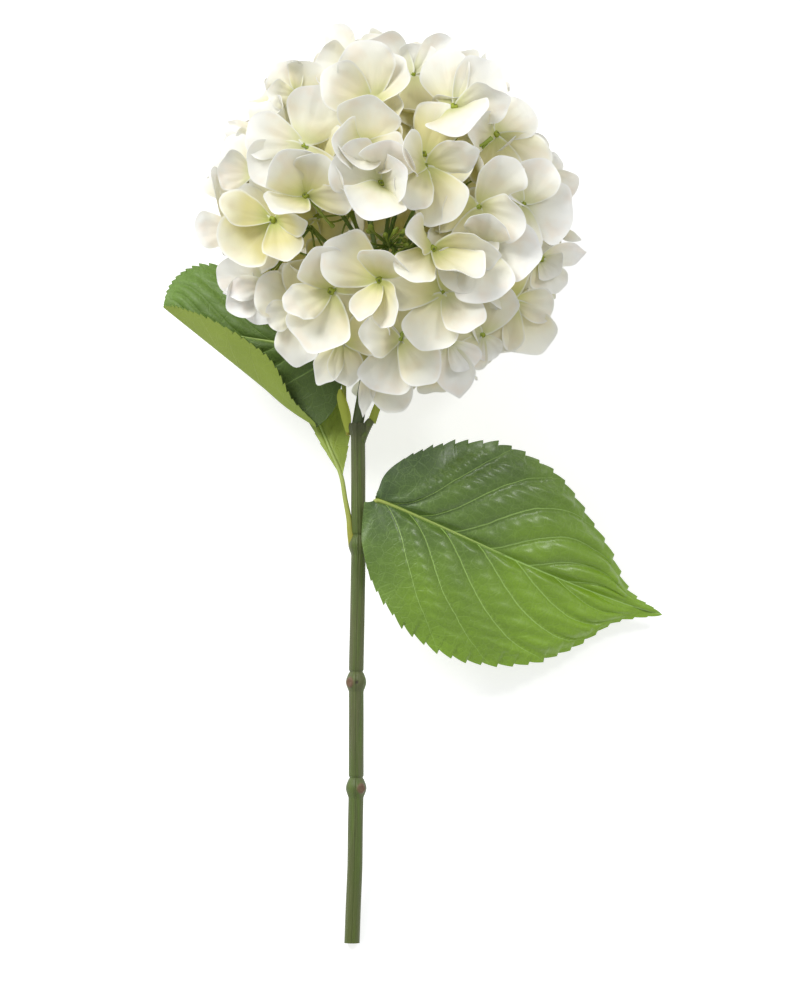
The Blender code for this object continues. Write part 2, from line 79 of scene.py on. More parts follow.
# Leaf scars: the height, and the bearing from the face in degrees. Each is a dip with a lip round it, and has
# a dark pit a turn away, in radians.
SCARS = ((0.1305, 318.0), (0.0775, 32.0), (0.1305, 138.0), (0.0775, 212.0))
SCAR_RADIUS = 0.0025
SCAR_STRETCH = 1.25
SCAR_LIP = 0.0006
SCAR_DIP = 0.0007
SCAR_SHARE = 0.85
PIT_TURN = 0.80
PIT_SIZE = (0.0007, 0.0010)
PIT_DEPTH = 0.0004
PIT_SHARE = 0.9
NODE_RADIUS = 0.0045
# Waves that keep the stem from being quite round: size, count round it and twist.
STEM_WAVES = ((0.012, 3, 90), (0.008, 5, -160))
# Rings of the flat ends, as shares of the radius, and how much pith each ring of the foot shows.
FOOT_RINGS = (0.02, 0.30, 0.34, 0.80, 0.97)
FOOT_PITH = (1.0, 1.0, 0.45, 0.55, 0.2)
TOP_RINGS = (0.97, 0.5, 0.02)
STUB_MM = ((3.6, 249.0, 0.3), (5.3, 254.0, 0.5), (7.5, 258.2, 0.7), (9.6, 261.4, 0.9))
STUB_RADII_MM = (2.7, 2.6, 2.3, 1.9)

HEAD_CENTRE = Vector((0.0190, 0.3610, 0.0030))
HEAD_RADIUS = 0.0815
PEDUNCLE_BASE = Vector((0.0030, STEM_TOP + 0.0003, 0.0))
PEDUNCLE_TOP = Vector((0.0150, 0.3380, 0.0020))
# Where the peduncle starts and where it begins to lean, over its base.
PEDUNCLE_FOOT = (-0.0002, 0.004)
RAY_COUNT = 14
RAY_LOW = -0.62
RAY_ROOT = 0.86
RAY_ROOT_RISE = 0.12
RAY_REACH = 0.0430
RAY_BOWS = (-0.004, 0.002)
PEDICEL_BOW = 0.004
NECK_CLEARANCE = math.radians(24.0)
# Profiles of the branches in the head: shares of the way, and the radii there in millimetres.
PEDUNCLE_PROFILE = ((0.0, 0.25, 0.5, 0.75, 1.0), (3.0, 2.94, 2.82, 2.91, 3.45))
RAY_PROFILE = ((0.0, 0.2, 0.85, 1.0), (1.7, 1.2, 1.0, 1.6))
PEDICEL_PROFILE = ((0.0, 0.08, 0.75, 0.93, 1.0), (0.9, 0.50, 0.50, 0.8, 1.4))
SHOWN_PROFILE = ((0.0, 0.15, 0.85, 1.0), (1.26, 0.7, 0.7, 1.26))
TUFT_PROFILE = ((0.0, 0.15, 0.75, 0.9, 1.0), (1.1, 0.6, 0.55, 1.5, 0.9))

# The florets of the face: right and up from the head's centre in millimetres, how far each
# leans right and up and how far it is spun in degrees, and its size.
FACE_FLORETS = (
    (32, 54, -8, 8, 45, 1.10), (53, 41, 4, 4, 20, 1.00), (-9, 57, 6, 0, 12, 1.06),
    (-13, 34, 0, 6, 80, 1.02), (-4, 15, 0, -6, 55, 1.00), (-43, 35, 4, 0, 60, 1.12),
    (-41, 9, 4, 12, 82, 0.98), (-58, -2, 0, -8, 35, 1.04), (18, 24, 4, 0, 42, 1.10),
    (45, 4, -4, 0, 20, 1.06), (66, 6, 0, -6, 50, 1.04), (21, -17, 6, -4, 8, 1.08),
    (46, -16, 6, -6, 70, 1.02), (-5, -33, -6, 6, 72, 1.04), (-29, -38, -4, 4, 25, 1.08),
    (26, -38, 8, -14, 52, 1.00), (63, -42, -4, 0, 12, 1.04), (-46, -47, 0, -10, 40, 1.00),
    (-62, -34, 0, -4, 75, 1.00), (-69, 22, 0, 0, 30, 1.00), (-46, 61, 0, 0, 50, 1.02),
    (-64, 42, -4, 0, 15, 0.92), (12, 72, 0, 0, 40, 1.00), (-18, 75, 0, 0, 75, 1.02),
    (5, -61, -4, -8, 88, 1.06), (30, -62, 0, -6, 62, 1.00), (46, -58, 0, 0, 30, 1.00),
    (-24, -62, 0, -6, 86, 1.04), (-9, -70, 0, 8, 2, 0.86), (76, 24, 0, 0, 65, 1.04),
    (76, -20, 0, 0, 35, 1.04), (-79, -5, -8, 0, 10, 1.10),
)
FACE_SINK = 0.003

# How the sepals of the florets in front lie, for each floret of the list above in turn. Each sepal has the
# way it points seen from the front and how far it rises towards the viewer, in degrees, its length and
# breadth in millimetres, and how far it is curled along its length, in degrees. Some also have how far they
# are rolled about it, in degrees, and a few the length of a point at the tip.
FACE_SEPALS = (
    ((105, -10, 29, 26, 30), (42, -15, 30, 29, 20), (8, 22, 27, 23, 40, 15), (-68, 60, 28, 34, -30)),
    ((38, 0, 22, 24, 30), (-38, 0, 31, 27, 30, 10), (-88, 10, 28, 28, 20), (170, 60, 24, 22, 10)),
    ((100, 10, 31, 30, 25), (55, 5, 27, 21, 20, -20), (150, 18, 28, 26, 20), (-90, 20, 22, 24, 10)),
    ((80, 20, 25, 33, 25), (178, 60, 27, 26, 20), (-20, 38, 27, 22, 30), (-115, 62, 25, 24, 10)),
    ((150, 25, 29, 30, 20, -10), (72, 42, 26, 28, 30), (-112, 50, 29, 32, -20), (15, 60, 24, 24, 10)),
    ((68, 0, 30, 32, 25), (165, 12, 30, 24, 20), (215, 8, 29, 29, 10), (-65, 10, 26, 24, 10)),
    ((118, 42, 29, 31, 20), (58, 45, 28, 28, 10), (205, 55, 28, 24, 30, 40), (-8, 30, 26, 18, 10, 30)),
    ((163, 12, 28, 19, 20, 30), (213, 12, 30, 31, 45), (-68, 32, 25, 21, 20), (-5, 50, 22, 16, 10, 30)),
    ((12, 30, 27, 22, 20, 40), (145, 58, 27, 24, 10, 30), (-66, 12, 31, 28, 25), (-120, 32, 26, 23, 10)),
    ((55, 18, 29, 24, 20, 30), (-20, 28, 27, 24, 10, 20), (-100, 12, 29, 25, 20), (180, 8, 28, 26, 20)),
    ((-15, -8, 26, 31, 45), (60, 10, 24, 24, 20), (-100, 0, 27, 26, 20), (150, 30, 25, 25, 10)),
    ((-3, 12, 32, 24, 25, 35), (-32, 30, 30, 24, 20, -35), (140, 50, 23, 22, 10, 50), (-130, 40, 26, 22, 10)),
    ((-8, 8, 27, 30, 30), (-88, 28, 31, 30, -10), (-135, 22, 29, 25, 35, 20), (80, 50, 24, 24, 10)),
    ((150, 18, 31, 30, 25), (75, 58, 26, 27, 10), (-75, 40, 30, 21, 20, 45), (-118, 42, 29, 15, 10, 30)),
    ((205, 32, 27, 20, 30), (-108, 12, 31, 33, 40), (40, 15, 24, 26, 10), (115, 42, 27, 25, 10)),
    ((165, 10, 29, 28, 20), (-110, 8, 30, 28, 20), (-50, 28, 27, 22, 20), (60, 15, 24, 24, 10)),
    ((-65, 0, 29, 28, 30), (-112, 5, 28, 27, 20), (-15, 0, 21, 18, 20), (100, 20, 27, 26, 20)),
    ((-95, -10, 27, 23, 20), (155, 0, 24, 24, 20), (195, 5, 17, 16, 10), (80, 10, 25, 24, 20)),
    ((165, 5, 25, 22, 30), (188, 15, 19, 14, -20, 0, 2), (-100, 0, 20, 19, 20), (-150, 2, 22, 20, 30)),
    ((172, 0, 17, 21, 20), (5, 22, 29, 22, 20), (125, -20, 24, 17, 20), (-55, -5, 23, 22, 20)),
    ((125, 0, 18, 22, 30), (60, 10, 18, 24, 30), (180, 12, 14, 15, 20), (-85, 20, 23, 22, 10)),
    ((75, 0, 15, 18, 20), (205, 0, 13, 14, 20), (165, -20, 17, 7, 10), (-20, 20, 25, 23, 20)),
    ((80, -5, 16, 19, 20), (150, 5, 27, 27, 20), (38, 0, 26, 22, 20), (-80, 20, 28, 25, 20)),
    ((115, -10, 24, 15, 10), (170, 5, 19, 24, 30), (50, -10, 20, 13, 10, 0, 2), (0, 10, 25, 25, 20)),
    ((-48, 18, 27, 24, 30), (-110, -10, 29, 27, 20), (90, 10, 26, 27, 10), (180, 40, 24, 21, 10)),
    ((-84, -5, 25, 22, 20, 0, 2), (-50, 0, 17, 17, 20), (100, 30, 17, 15, 40), (180, 0, 26, 25, 10)),
    ((-60, 0, 13, 14, 20), (-120, 0, 18, 18, 20), (75, 12, 27, 27, 20), (165, 10, 26, 25, 20)),
    ((-81, 0, 21, 20, 35, 0, 3), (-119, 0, 22, 15, 20), (100, 30, 26, 25, 10), (15, 30, 25, 24, 10)),
    ((-98, -5, 26, 9, 10, 0, 3), (-60, -5, 30, 22, 20), (175, 0, 21, 21, 20), (80, 40, 24, 24, 20)),
    ((35, -20, 15, 12, 20), (-36, 0, 22, 20, 30), (170, 20, 26, 26, 20), (110, 0, 21, 21, 20)),
    ((11, -5, 21, 13, 10, 0, 3), (-70, 0, 18, 20, 20), (-40, 12, 12, 17, 30), (175, 10, 22, 22, 20)),
    ((185, 0, 20, 19, 30), (32, 0, 25, 17, 20), (-115, -20, 14, 9, 20), (-48, 10, 23, 24, 20),
     (104, 0, 33, 9, 60, 80)),
)
# How green each of those florets is.
FACE_GREENS = (0.35, 0.5, 0.55, 0.45, 0.25, 0.1, 0.8, 1.5, 0.75, 0.4, 0.1, 0.9, 0.2, 0.8, 0.7, 0.5, 0.6, 0.45,
               0.0, 0.2, 0.5, 0.3, 0.1, 0.3, 0.5, 0.1, 0.1, 0.7, 0.6, 0.1, 0.1, 0.0)
# Those whose buds hardly show.
HIDDEN_EYES = (5, 8, 9, 10, 15, 19, 22, 24, 26)
SMALL_EYE = 0.62
FLORET_COUNT = 56
FILL_CANDIDATES = 1200
FILL_FROM_FACE = math.radians(72.0)
FILL_SIZES = (0.92, 1.08)
FILL_SINK = 0.005
LEAF_CLEARANCE = 0.0260
LEAF_STEPS = 12
LEAN = math.radians(10.0)
SEED = 11

SEPAL_LENGTH = 0.0250
SEPAL_HALF_WIDTH = 0.0118
OUTER_RISE = math.radians(22.0)
INNER_RISE = math.radians(36.0)
RISE_SPREAD = (-8, 8)
BEND_SPREAD = (-14, 4)
SWING_SPREAD = (-4, 4)
LENGTH_SPREAD = (0.98, 1.12)
WIDTH_SPREAD = (1.04, 1.22)
CURL_SPREAD = (-52, 50)
OTHER_GREENS = (0.0, 0.8)
GREEN_SPREAD = 0.15
# Sepals of the other florets that stop short, by the number of the floret and of the sepal.
SHORT_SEPALS = {
    (6, 1): 0.60, (9, 0): 0.50, (10, 1): 0.78, (10, 3): 0.55, (12, 3): 0.68, (16, 0): 0.88, (16, 1): 0.62,
    (16, 3): 0.76, (17, 1): 0.78, (17, 3): 0.82, (18, 0): 0.62, (18, 1): 0.70, (18, 3): 0.62, (19, 1): 0.45,
    (19, 3): 0.75, (20, 1): 0.60,
}
# The table holds up what would sink below this height, over about this blend, and only that near.
PRESS_FLOOR = 0.00045
PRESS_BLEND = 0.0010
PRESS_REACH = 20.0

# How sepals differ from one another. Pairs are the ranges that the seeded draws take them from.
ANY_TURN = (0.0, 6.28)
OUTLINE_WAVES = ((0.028, 3.0), (0.016, 7.0))
TIP_BULGES = (-0.03, 0.10)
LEAST_CURL = 0.02
FOOT_BREADTH = 0.50
TIP_BREADTH = 0.82
CUPS = (0.22, 0.72)
# The rim's waves and its ripples: heights, counts round it, and the powers of the rim and of the length that
# they grow with.
RIM_WAVES = (((0.0004, 0.0013), (2, 3, 4), 4, 0), ((0.0002, 0.0007), (6, 7, 9), 3, 1))
TILTS = (-16.0, 16.0)
RIM_TURNS = (-0.3, 1.0)
RIM_TURN = 0.0022
CREASE_DEPTH = 0.0003
CREASE_BREADTH = 0.10
PLEAT_HEIGHT = 0.00030
PLEATS = 17.0
SKEWS = (-0.0016, 0.0016)
BUD_RADIUS = 0.0018
BUD_LOBE = 0.13
BUD_HALF_HEIGHT = 0.0015
BUD_RISE = 0.0008
BUD_DENT = 0.35

# Pedicels seen between the florets in front: right, up and out from the head's centre, in millimetres.
SHOWN_PEDICELS_MM = (
    ((30, 50, 56), (29, 43, 55), (30, 36, 54), (37, 33, 55), (44, 34, 57), (50, 38, 57)),
    ((39, 30, 50), (45, 33, 54), (50, 38, 57)), ((31, 36, 53), (33, 39, 53), (32, 42, 54)),
    ((-42, 9, 66), (-37, 5, 62), (-32, -1, 56), (-28, -5, 50)), ((-49, 4, 58), (-44, 6, 59), (-39, 6, 60)),
    ((-30, 29, 60), (-29, 20, 62), (-26, 14, 60), (-22, 10, 54)), ((3, 4, 58), (5, 8, 60), (9, 12, 58)),
)
TUFT_FOOT = Vector((0.0, -0.014, 0.034))
TUFT_COUNT = 16
TUFT_TURN = 2.4
TUFT_REACH = (0.010, 0.022)
TUFT_BOW = 0.003

# Leaves: each rail runs from base to tip: right, up and out of the face, in millimetres. A leaf's form has
# the rail of its rib, its teeth a side, where along it they begin, how deep they are, how high it is quilted
# and its margin waved, from where across it is calm, and which side is up.
RIGHT_FORM = dict(rib_rail=2, teeth=30, teeth_from=0.30, tooth_depth=0.0021, quilt=0.0024, wave=0.0009,
                  calm=9.0, side=-1, seed=1)
RIGHT_RAILS_MM = (
    ((12, 225, 6.8), (19, 237, 9), (33, 245, 8), (53, 249.5, 3), (80, 247, -6), (105, 231, -14),
     (124, 204, -20), (140, 175, -25), (156, 163.9, -30.5)),
    ((11.8, 223, 6.8), (20, 228.5, 9), (35, 229, 8.5), (55, 227, 4.5), (79, 221.5, -2.5),
     (101.5, 208.5, -9.5), (121, 190.5, -16.5), (139, 172, -23.5), (156, 163.8, -30.5)),
    ((11.5, 221.5, 6.0), (20, 219, 5.8), (36, 212, 4.5), (55, 203.5, 1.0), (76, 194, -4.0), (97, 185, -10),
     (118, 176.5, -17), (138, 169, -24), (156, 163.7, -30.5)),
    ((9, 220.5, 6.8), (12.5, 208.5, 8.5), (23.5, 196, 8.5), (40.5, 181, 6.5), (63, 169, 1.0),
     (88, 162.5, -6), (113, 161, -14), (135, 164.5, -23), (156, 163.6, -30.5)),
    ((6, 220.5, 7.2), (5.2, 199, 10), (11.5, 179, 10), (27, 158.5, 8), (50, 144, 2.0), (79, 139.5, -6),
     (107, 146, -14), (131, 160, -22), (156, 163.5, -30.5)),
)
RIGHT_STALK_MM = ((9.7, 200.2, 1.0), (11.0, 206, 2.0), (11.5, 214, 3.8), (11.9, 221, 5.3), (20, 218.8, 5.2),
                  (36, 212, 3.9), (55, 203.5, 0.5), (76, 194, -4.4))
RIGHT_STALK_RADII_MM = (1.7, 1.5, 1.4, 1.2, 0.85, 0.75, 0.6, 0.3)

LEFT_FORM = dict(rib_rail=2, teeth=26, teeth_from=0.10, tooth_depth=0.0016, quilt=0.0010, wave=0.0003,
                 calm=0.45, side=1, seed=2)
LEFT_RAILS_MM = (
    ((-4.5, 285, -7.5), (-12, 306, -12), (-34, 325, -18), (-56, 337, -24), (-78, 339, -27),
     (-90, 331.5, -26), (-95, 320, -24)),
    ((-4.4, 284.5, -7.5), (-16, 301.5, -8), (-36, 313, -11), (-57, 320, -15), (-76, 325, -19),
     (-88, 324, -22), (-95, 319.6, -24)),
    ((-4.2, 284, -7.5), (-20, 297, -6.5), (-38, 300.5, -8), (-58, 304, -11), (-76, 310.5, -16),
     (-87, 315, -20), (-95, 319.2, -24)),
    ((-8.8, 267.4, -6.0), (-26, 282, -8.5), (-43, 290, -11.5), (-61, 299, -14.5), (-77, 308, -18.5),
     (-87, 314, -21.5), (-95, 319, -24.2)),
    ((-17, 258.5, -5.0), (-32, 268.0, -9), (-48, 280.9, -12), (-64, 293.7, -15.5), (-78, 304.9, -19.5),
     (-87, 312.1, -22), (-95, 318.6, -24.4)),
    ((-18, 259.2, -3.8), (-33, 272.0, -4), (-46, 288, -3), (-62, 300, -6), (-77, 309, -13.5),
     (-87, 314.6, -19.5), (-95, 318.9, -23.6)),
    ((-18.4, 260.2, -3.2), (-31, 273.0, -1), (-40, 290, 2.5), (-55, 302.5, 1.5), (-74, 313, -7),
     (-86, 317.5, -16), (-94.6, 319.3, -22.8)),
)
LEFT_STALK_MM = ((-1.7, 254.2, -3.4), (-2.9, 262, -6.2), (-4.0, 272, -8.4), (-4.6, 282, -9.0),
                 (-9, 289, -8.9), (-20, 297, -7.3), (-38, 300.5, -8.8), (-58, 304, -11.6))
LEFT_STALK_RADII_MM = (1.25, 1.2, 1.2, 1.2, 1.1, 1.0, 0.8, 0.4)

SMALL_FORM = dict(rib_rail=1, teeth=12, teeth_from=0.10, tooth_depth=0.0004, quilt=0.0006, wave=0.0003,
                  calm=9.0, side=-1, seed=3)
SMALL_RAILS_MM = (
    ((-6.4, 234.6, -3.4), (-14, 247, -10), (-21, 259.5, -17), (-28, 272, -24), (-33, 285, -30),
     (-31.8, 295.5, -34)),
    ((-5.6, 234.6, -3.2), (-11, 247, -9), (-16.5, 260, -16), (-22, 272, -23), (-27.5, 284, -29.5),
     (-31.2, 295.5, -34)),
    ((-4.6, 234.8, -3.4), (-2.6, 246, -10), (-1.5, 258, -17), (-4, 272, -24), (-15, 287, -30),
     (-30.6, 295.5, -34)),
)
SMALL_STALK_MM = ((0.6, 198.6, 0.4), (-0.9, 206, 0.4), (-1.5, 212, -0.2), (-3.4, 222, -1.4),
                  (-5.6, 234, -3.6), (-11, 247, -9.4), (-16.5, 260, -16.4), (-22, 272, -23.4))
SMALL_STALK_RADII_MM = (2.4, 1.6, 1.4, 1.2, 1.1, 0.9, 0.7, 0.4)

LEFT_BRACT_MM = (
    ((-3.2, 256.0, 0.2), (-5.4, 263.5, 0.7), (-7.3, 272, 0.6), (-6.6, 276, 0.2)),
    ((-1.8, 255.2, 0.8), (-2.8, 264, 2.0), (-4.9, 273, 2.0), (-5.9, 277, 1.2)),
    ((-0.7, 256.6, 1.4), (-0.6, 264, 2.0), (-3.0, 272, 1.8), (-5.2, 276, 1.2)),
)
RIGHT_BRACT_MM = (
    ((8.1, 261.0, 0.4), (9.7, 265.5, 1.0), (11.6, 270, 1.2), (13.2, 273.6, 1.0)),
    ((9.9, 260.2, 1.1), (11.4, 265.0, 2.1), (13.0, 269.6, 2.3), (14.1, 273.1, 1.8)),
    ((11.7, 259.6, 0.6), (13.2, 264.4, 1.3), (14.6, 269, 1.4), (15.1, 272.8, 1.1)),
)

# ---------------------------------------------------------------- sizes of the finer surfaces

SEPAL_CELLS = 14
SEPAL_THICKNESS = 0.00018
LEAF_THICKNESS = 0.00055
LEAF_ROWS = 72
ROW_CROWDING = 1.25
BRACT_THICKNESS = 0.0008
STEM_SIDES = 48
STEM_RINGS = 180
NODE_REACH = 0.007
NODE_RINGS = 40
STEM_SHARP_ANGLE = math.radians(50.0)
TUBE_TIP_REACH = 0.3
TUBE_TIP_SHARE = 0.02
# A direction that no tube starts along.
ASIDE = (0.31, 0.17, 0.93)

# Teeth: cells to each, where its long side ends, how full it is, how far teeth differ and lean forward, how
# they fade in, and how far the margin's next rows follow. Where the next rail is nearer than the room they
# shrink.
TOOTH_CELLS = 8
TOOTH_BACK = 0.875
TOOTH_FULLNESS = 0.8
TOOTH_SPREAD = 0.35
TOOTH_LEAN = 0.6
TOOTH_FADE = (-0.16, 0.06)
TOOTH_PULL = (1.0, 0.62, 0.3, 0.1)
TOOTH_ROOM = 0.00325

# Veins: pairs of laterals, how far they sweep forward, how that bends, how far one side is ahead, and a whole
# number that keeps their count above 0. A vein's breadth runs from the rib to the margin, and the rib's from
# base to tip.
VEIN_PAIRS = 8.6
VEIN_SWEEP = 0.40
VEIN_CURVE = 0.90
VEIN_OFFSET = 0.35
VEIN_START = 20.0
VEIN_BREADTHS = (0.047, 0.016)
RIB_BREADTHS = (0.0011, 0.00035)

# The leaf's relief between the veins, its ladder of ripples, the groove of its rib and its waved margin.
PILLOW_FULLNESS = 2.4
QUILT_FROM_RIB = 0.005
QUILT_FROM_EDGE = 0.009
QUILT_TIP = (0.96, 0.74)
QUILT_ROOT = 0.10
RUNG_GAP = 0.0024
RUNG_SLANT = 4.0
RIPPLE_SHARES = (0.08, 0.24)
RIPPLE_SPAN = (0.30, 0.75)
RIB_DEPTH = 0.0008
RIB_BREADTH = 0.0013
MARGIN_BREADTH = 0.012
MARGIN_WAVES = 37.0

# Depths in the head over which sepals turn golden, a painted shade of the head's depths, and the
# florets that stand inside it.
PAINTED_SHADE_DEPTHS = (-0.006, 0.018)
INNER_COUNT = 44
INNER_REACH = (0.70, 0.84)
INNER_SIZES = (0.92, 1.05)
INNER_LEAN = 0.25
INNER_NECK = math.radians(38.0)
OPENING_WAY = (0.02, -0.14, 1.0)
OPENING_ANGLE = math.radians(26.0)

# ---------------------------------------------------------------- colours, light and camera

SEPAL_WHITE = (0.935, 0.935, 0.92)
SEPAL_GREEN = (0.64, 0.68, 0.22)
SEPAL_BLUSH = (0.92, 0.85, 0.78)
# the sepals' gold, also used as painted shade on sepals deep in the head
SEPAL_GOLD_AND_SHADE = (0.82, 0.775, 0.42)
SEPAL_VEINS = 46.0
SEPAL_LIT_SHARE = 0.38
BRANCH_DARK = (0.055, 0.12, 0.02)
BRANCH_LIGHT = (0.30, 0.38, 0.045)
BRANCH_SOFT = (0.10, 0.17, 0.025)
BRANCH_BARK = (0.062, 0.070, 0.024)
BUD_GREEN = (0.26, 0.31, 0.02)
BUD_TOP = (0.09, 0.11, 0.01)
BARK_GREEN = (0.090, 0.138, 0.020)
BARK_OLIVE = (0.108, 0.122, 0.042)
BARK_STREAK = (0.060, 0.072, 0.022)
BARK_SPECK = (0.22, 0.20, 0.12)
BARK_FOOT = (0.075, 0.105, 0.010)
BARK_COLLAR = (0.055, 0.060, 0.024)
SCAR_BROWN = (0.16, 0.082, 0.050)
PIT_BROWN = (0.04, 0.03, 0.02)
PITH_CREAM = (0.52, 0.50, 0.30)
COAT_ROUGHNESS = 0.30
LEAF_FINISHES = {
    "leaf_right_top": dict(
        dark=(0.055, 0.102, 0.026), light=(0.24, 0.42, 0.010), vein=(0.36, 0.56, 0.13), vein_share=0.85,
        roughness=0.38, coat=0.65, lit_share=0.10, gradient=(0.95, 0.25, -0.38)),
    "leaf_left_top": dict(
        dark=(0.080, 0.135, 0.024), light=(0.15, 0.27, 0.035), vein=(0.24, 0.38, 0.08), vein_share=0.45,
        roughness=0.50, coat=0.06, lit_share=0.08, gradient=(0.9, -0.2, -0.25)),
    "leaf_small_top": dict(
        dark=(0.34, 0.42, 0.08), light=(0.42, 0.55, 0.10), vein=(0.52, 0.62, 0.18), vein_share=0.6,
        roughness=0.50, coat=0.05, lit_share=0.20, gradient=(0.5, 0.3, 0.1)),
}
UNDERSIDE_GREEN = (0.235, 0.31, 0.04)
UNDERSIDE_VEIN = (0.36, 0.45, 0.11)
STALK_GREENS = ((0.27, 0.25, 0.014), (0.36, 0.52, 0.14))
BRACT_GREENS = ((0.30, 0.36, 0.03), (0.38, 0.42, 0.04))

TABLE_SIZE = 30.0
TABLE_GREYS = ((0.58, 0.58, 0.58), (0.62, 0.62, 0.62))
TABLE_GLOW = 0.62
SKY_COLOUR = (0.955, 0.975, 1.0, 1.0)
SKY_STRENGTH = 0.62
# Lamps: the place on the standing flower that each is aimed at, where it is from there once the flower lies,
# its breadth and its power.
LAMPS = (
    ("key", HEAD_CENTRE, Vector((-1.1, 0.9, 1.5)), 1.0, 36.0),
    ("glint", Vector((0.080, 0.195, 0.0)), Vector((0.85, 0.55, 1.5)), 0.26, 6.5),
)
CAMERA_DISTANCE = 3.0
VIEW_HEIGHT = 0.494
VIEW_CENTRE = (0.0240, 0.2245)
SENSOR = 36.0


# ---------------------------------------------------------------- surfaces

def curve_through(knots, shares):
    """Places at these shares of the way along a smooth curve through the knots."""
    knots = np.asarray(knots, float)
    spots = np.asarray(shares, float) * (len(knots) - 1)
    i = np.clip(spots.astype(int), 0, len(knots) - 2)
    f = (spots - i).reshape(spots.shape + (1,) * (knots.ndim - 1))
    ends = np.concatenate([2 * knots[:1] - knots[1:2], knots, 2 * knots[-1:] - knots[-2:-1]])
    a, b, c, d = ends[i], ends[i + 1], ends[i + 2], ends[i + 3]
    return 0.5 * (2 * b + (c - a) * f + (2 * a - 5 * b + 4 * c - d) * f ** 2
                  + (3 * b - a - 3 * c + d) * f ** 3)


def curve_in_mm(knots_mm, steps):
    """The same in millimetres, as this many evenly shared places in metres."""
    return curve_through(np.array(knots_mm, float) * MM, np.linspace(0.0, 1.0, steps))


def even(radii_mm):
    """A tube's profile with these radii evenly spaced along it."""
    return np.linspace(0.0, 1.0, len(radii_mm)), radii_mm


def smoothstep(low, high, value):
    share = np.clip((value - low) / (high - low), 0.0, 1.0)
    return share * share * (3.0 - 2.0 * share)


def unit(vectors):
    return vectors / np.maximum(np.linalg.norm(vectors, axis=-1, keepdims=True), 1e-12)


def transformed(matrix, points):
    """The points, moved by a 4 x 4 matrix."""
    m = np.array(matrix)
    return points @ m[:3, :3].T + m[:3, 3]


def ring(sides):
    """Angles evenly spaced round a full turn."""
    return np.linspace(0.0, 2.0 * math.pi, sides, endpoint=False)


def stacked(*parts):
    """A grid of places, of the pattern or of tints, from its parts."""
    return np.stack(np.broadcast_arrays(*parts), axis=2)


def link(name, data):
    """An object with this data, put in the scene."""
    obj = bpy.data.objects.new(name, data)
    bpy.context.scene.collection.objects.link(obj)
    return obj


class Skin:
    """Surfaces gathered for one piece. Each point has a place in the pattern (a UV) and three tints, which
    the materials read as the attribute "tint"."""

    def __init__(self):
        self.points, self.quads, self.patterns, self.tints = [], [], [], []
        self.count = 0

    def grid(self, points, pattern, tint=(0.0, 0.0, 0.0), around=False, turned=False):
        """Adds a grid of points (rows, columns, 3). A grid that goes around has its last column joined
        to its first, and a turned one faces the other way."""
        rows, columns = points.shape[:2]
        index = self.count + np.arange(rows * columns).reshape(rows, columns)
        if around:
            index = np.concatenate([index, index[:, :1]], axis=1)
        corners = [index[:-1, :-1], index[:-1, 1:], index[1:, 1:], index[1:, :-1]]
        if turned:
            corners.reverse()
        self.quads.append(np.stack([c.ravel() for c in corners], axis=1))
        self.points.append(points.reshape(-1, 3))
        self.patterns.append(pattern.reshape(-1, 2))
        self.tints.append(np.broadcast_to(tint, (rows, columns, 3)).reshape(-1, 3))
        self.count += rows * columns

    def tube(self, path, profile, sides, tint_from=(0, 0, 0), tint_to=(0, 0, 0)):
        """Adds a round tube along the path, closed by a small tip at each end. Its profile has shares of the
        way and the radii there in millimetres."""
        path = np.asarray(path, float)
        radii = np.interp(np.linspace(0.0, 1.0, len(path)), *profile) * MM
        tangents = unit(np.gradient(path, axis=0))
        start = path[0] - tangents[0] * radii[0] * TUBE_TIP_REACH
        end = path[-1] + tangents[-1] * radii[-1] * TUBE_TIP_REACH
        path = np.concatenate([[start], path, [end]])
        radii = np.concatenate([[radii[0] * TUBE_TIP_SHARE], radii, [radii[-1] * TUBE_TIP_SHARE]])
        tangents = np.concatenate([tangents[:1], tangents, tangents[-1:]])
        side = np.cross(tangents[0], ASIDE)
        turn = ring(sides)[:, None]
        rings = []
        for place, radius, tangent in zip(path, radii, tangents):
            side = unit(side - tangent * (side @ tangent))
            rings.append(place + radius * (np.cos(turn) * side + np.sin(turn) * np.cross(tangent, side)))
        share = np.linspace(0.0, 1.0, len(path))
        pattern = stacked(share[:, None], (turn / (2 * math.pi)).T)
        tint = np.asarray(tint_from) + share[:, None, None] * (np.asarray(tint_to) - np.asarray(tint_from))
        self.grid(np.array(rings), pattern, np.broadcast_to(tint, (len(path), sides, 3)), around=True)

    def build(self, name, finishes, nodes, thickness=0.0):
        """Makes the piece, lays it down and puts it on the frame in place of the nodes. A piece with a
        thickness has the last finish on its other side."""
        data = bpy.data.meshes.new(name)
        points = transformed(LYING, np.concatenate(self.points))
        data.from_pydata(points.tolist(), [], np.concatenate(self.quads).tolist())
        pattern = np.concatenate(self.patterns)
        corners = np.zeros(len(data.loops), int)
        data.loops.foreach_get("vertex_index", corners)
        data.uv_layers.new(name="pattern").data.foreach_set("uv", pattern[corners].ravel())
        tint = data.attributes.new("tint", "FLOAT_VECTOR", "POINT")
        tint.data.foreach_set("vector", np.concatenate(self.tints).astype(np.float32).ravel())
        data.shade_smooth()
        for finish in finishes:
            data.materials.append(finish)
        piece = link(name, data)
        if thickness:
            # a sharp rim, so that the shading doesn't round the blade's edge
            edges = np.zeros(len(data.loops), int)
            data.loops.foreach_get("edge_index", edges)
            rim = np.bincount(edges, minlength=len(data.edges)) == 1
            data.attributes.new("sharp_edge", "BOOLEAN", "EDGE").data.foreach_set("value", rim)
            blade = piece.modifiers.new("blade", "SOLIDIFY")
            blade.thickness = thickness
            blade.offset = 0.0
            blade.material_offset = len(finishes) - 1
        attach(piece, "root")
        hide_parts(*nodes)
        return piece


# ---------------------------------------------------------------- materials

def dimmed(colour, share):
    return tuple(share * c for c in colour)


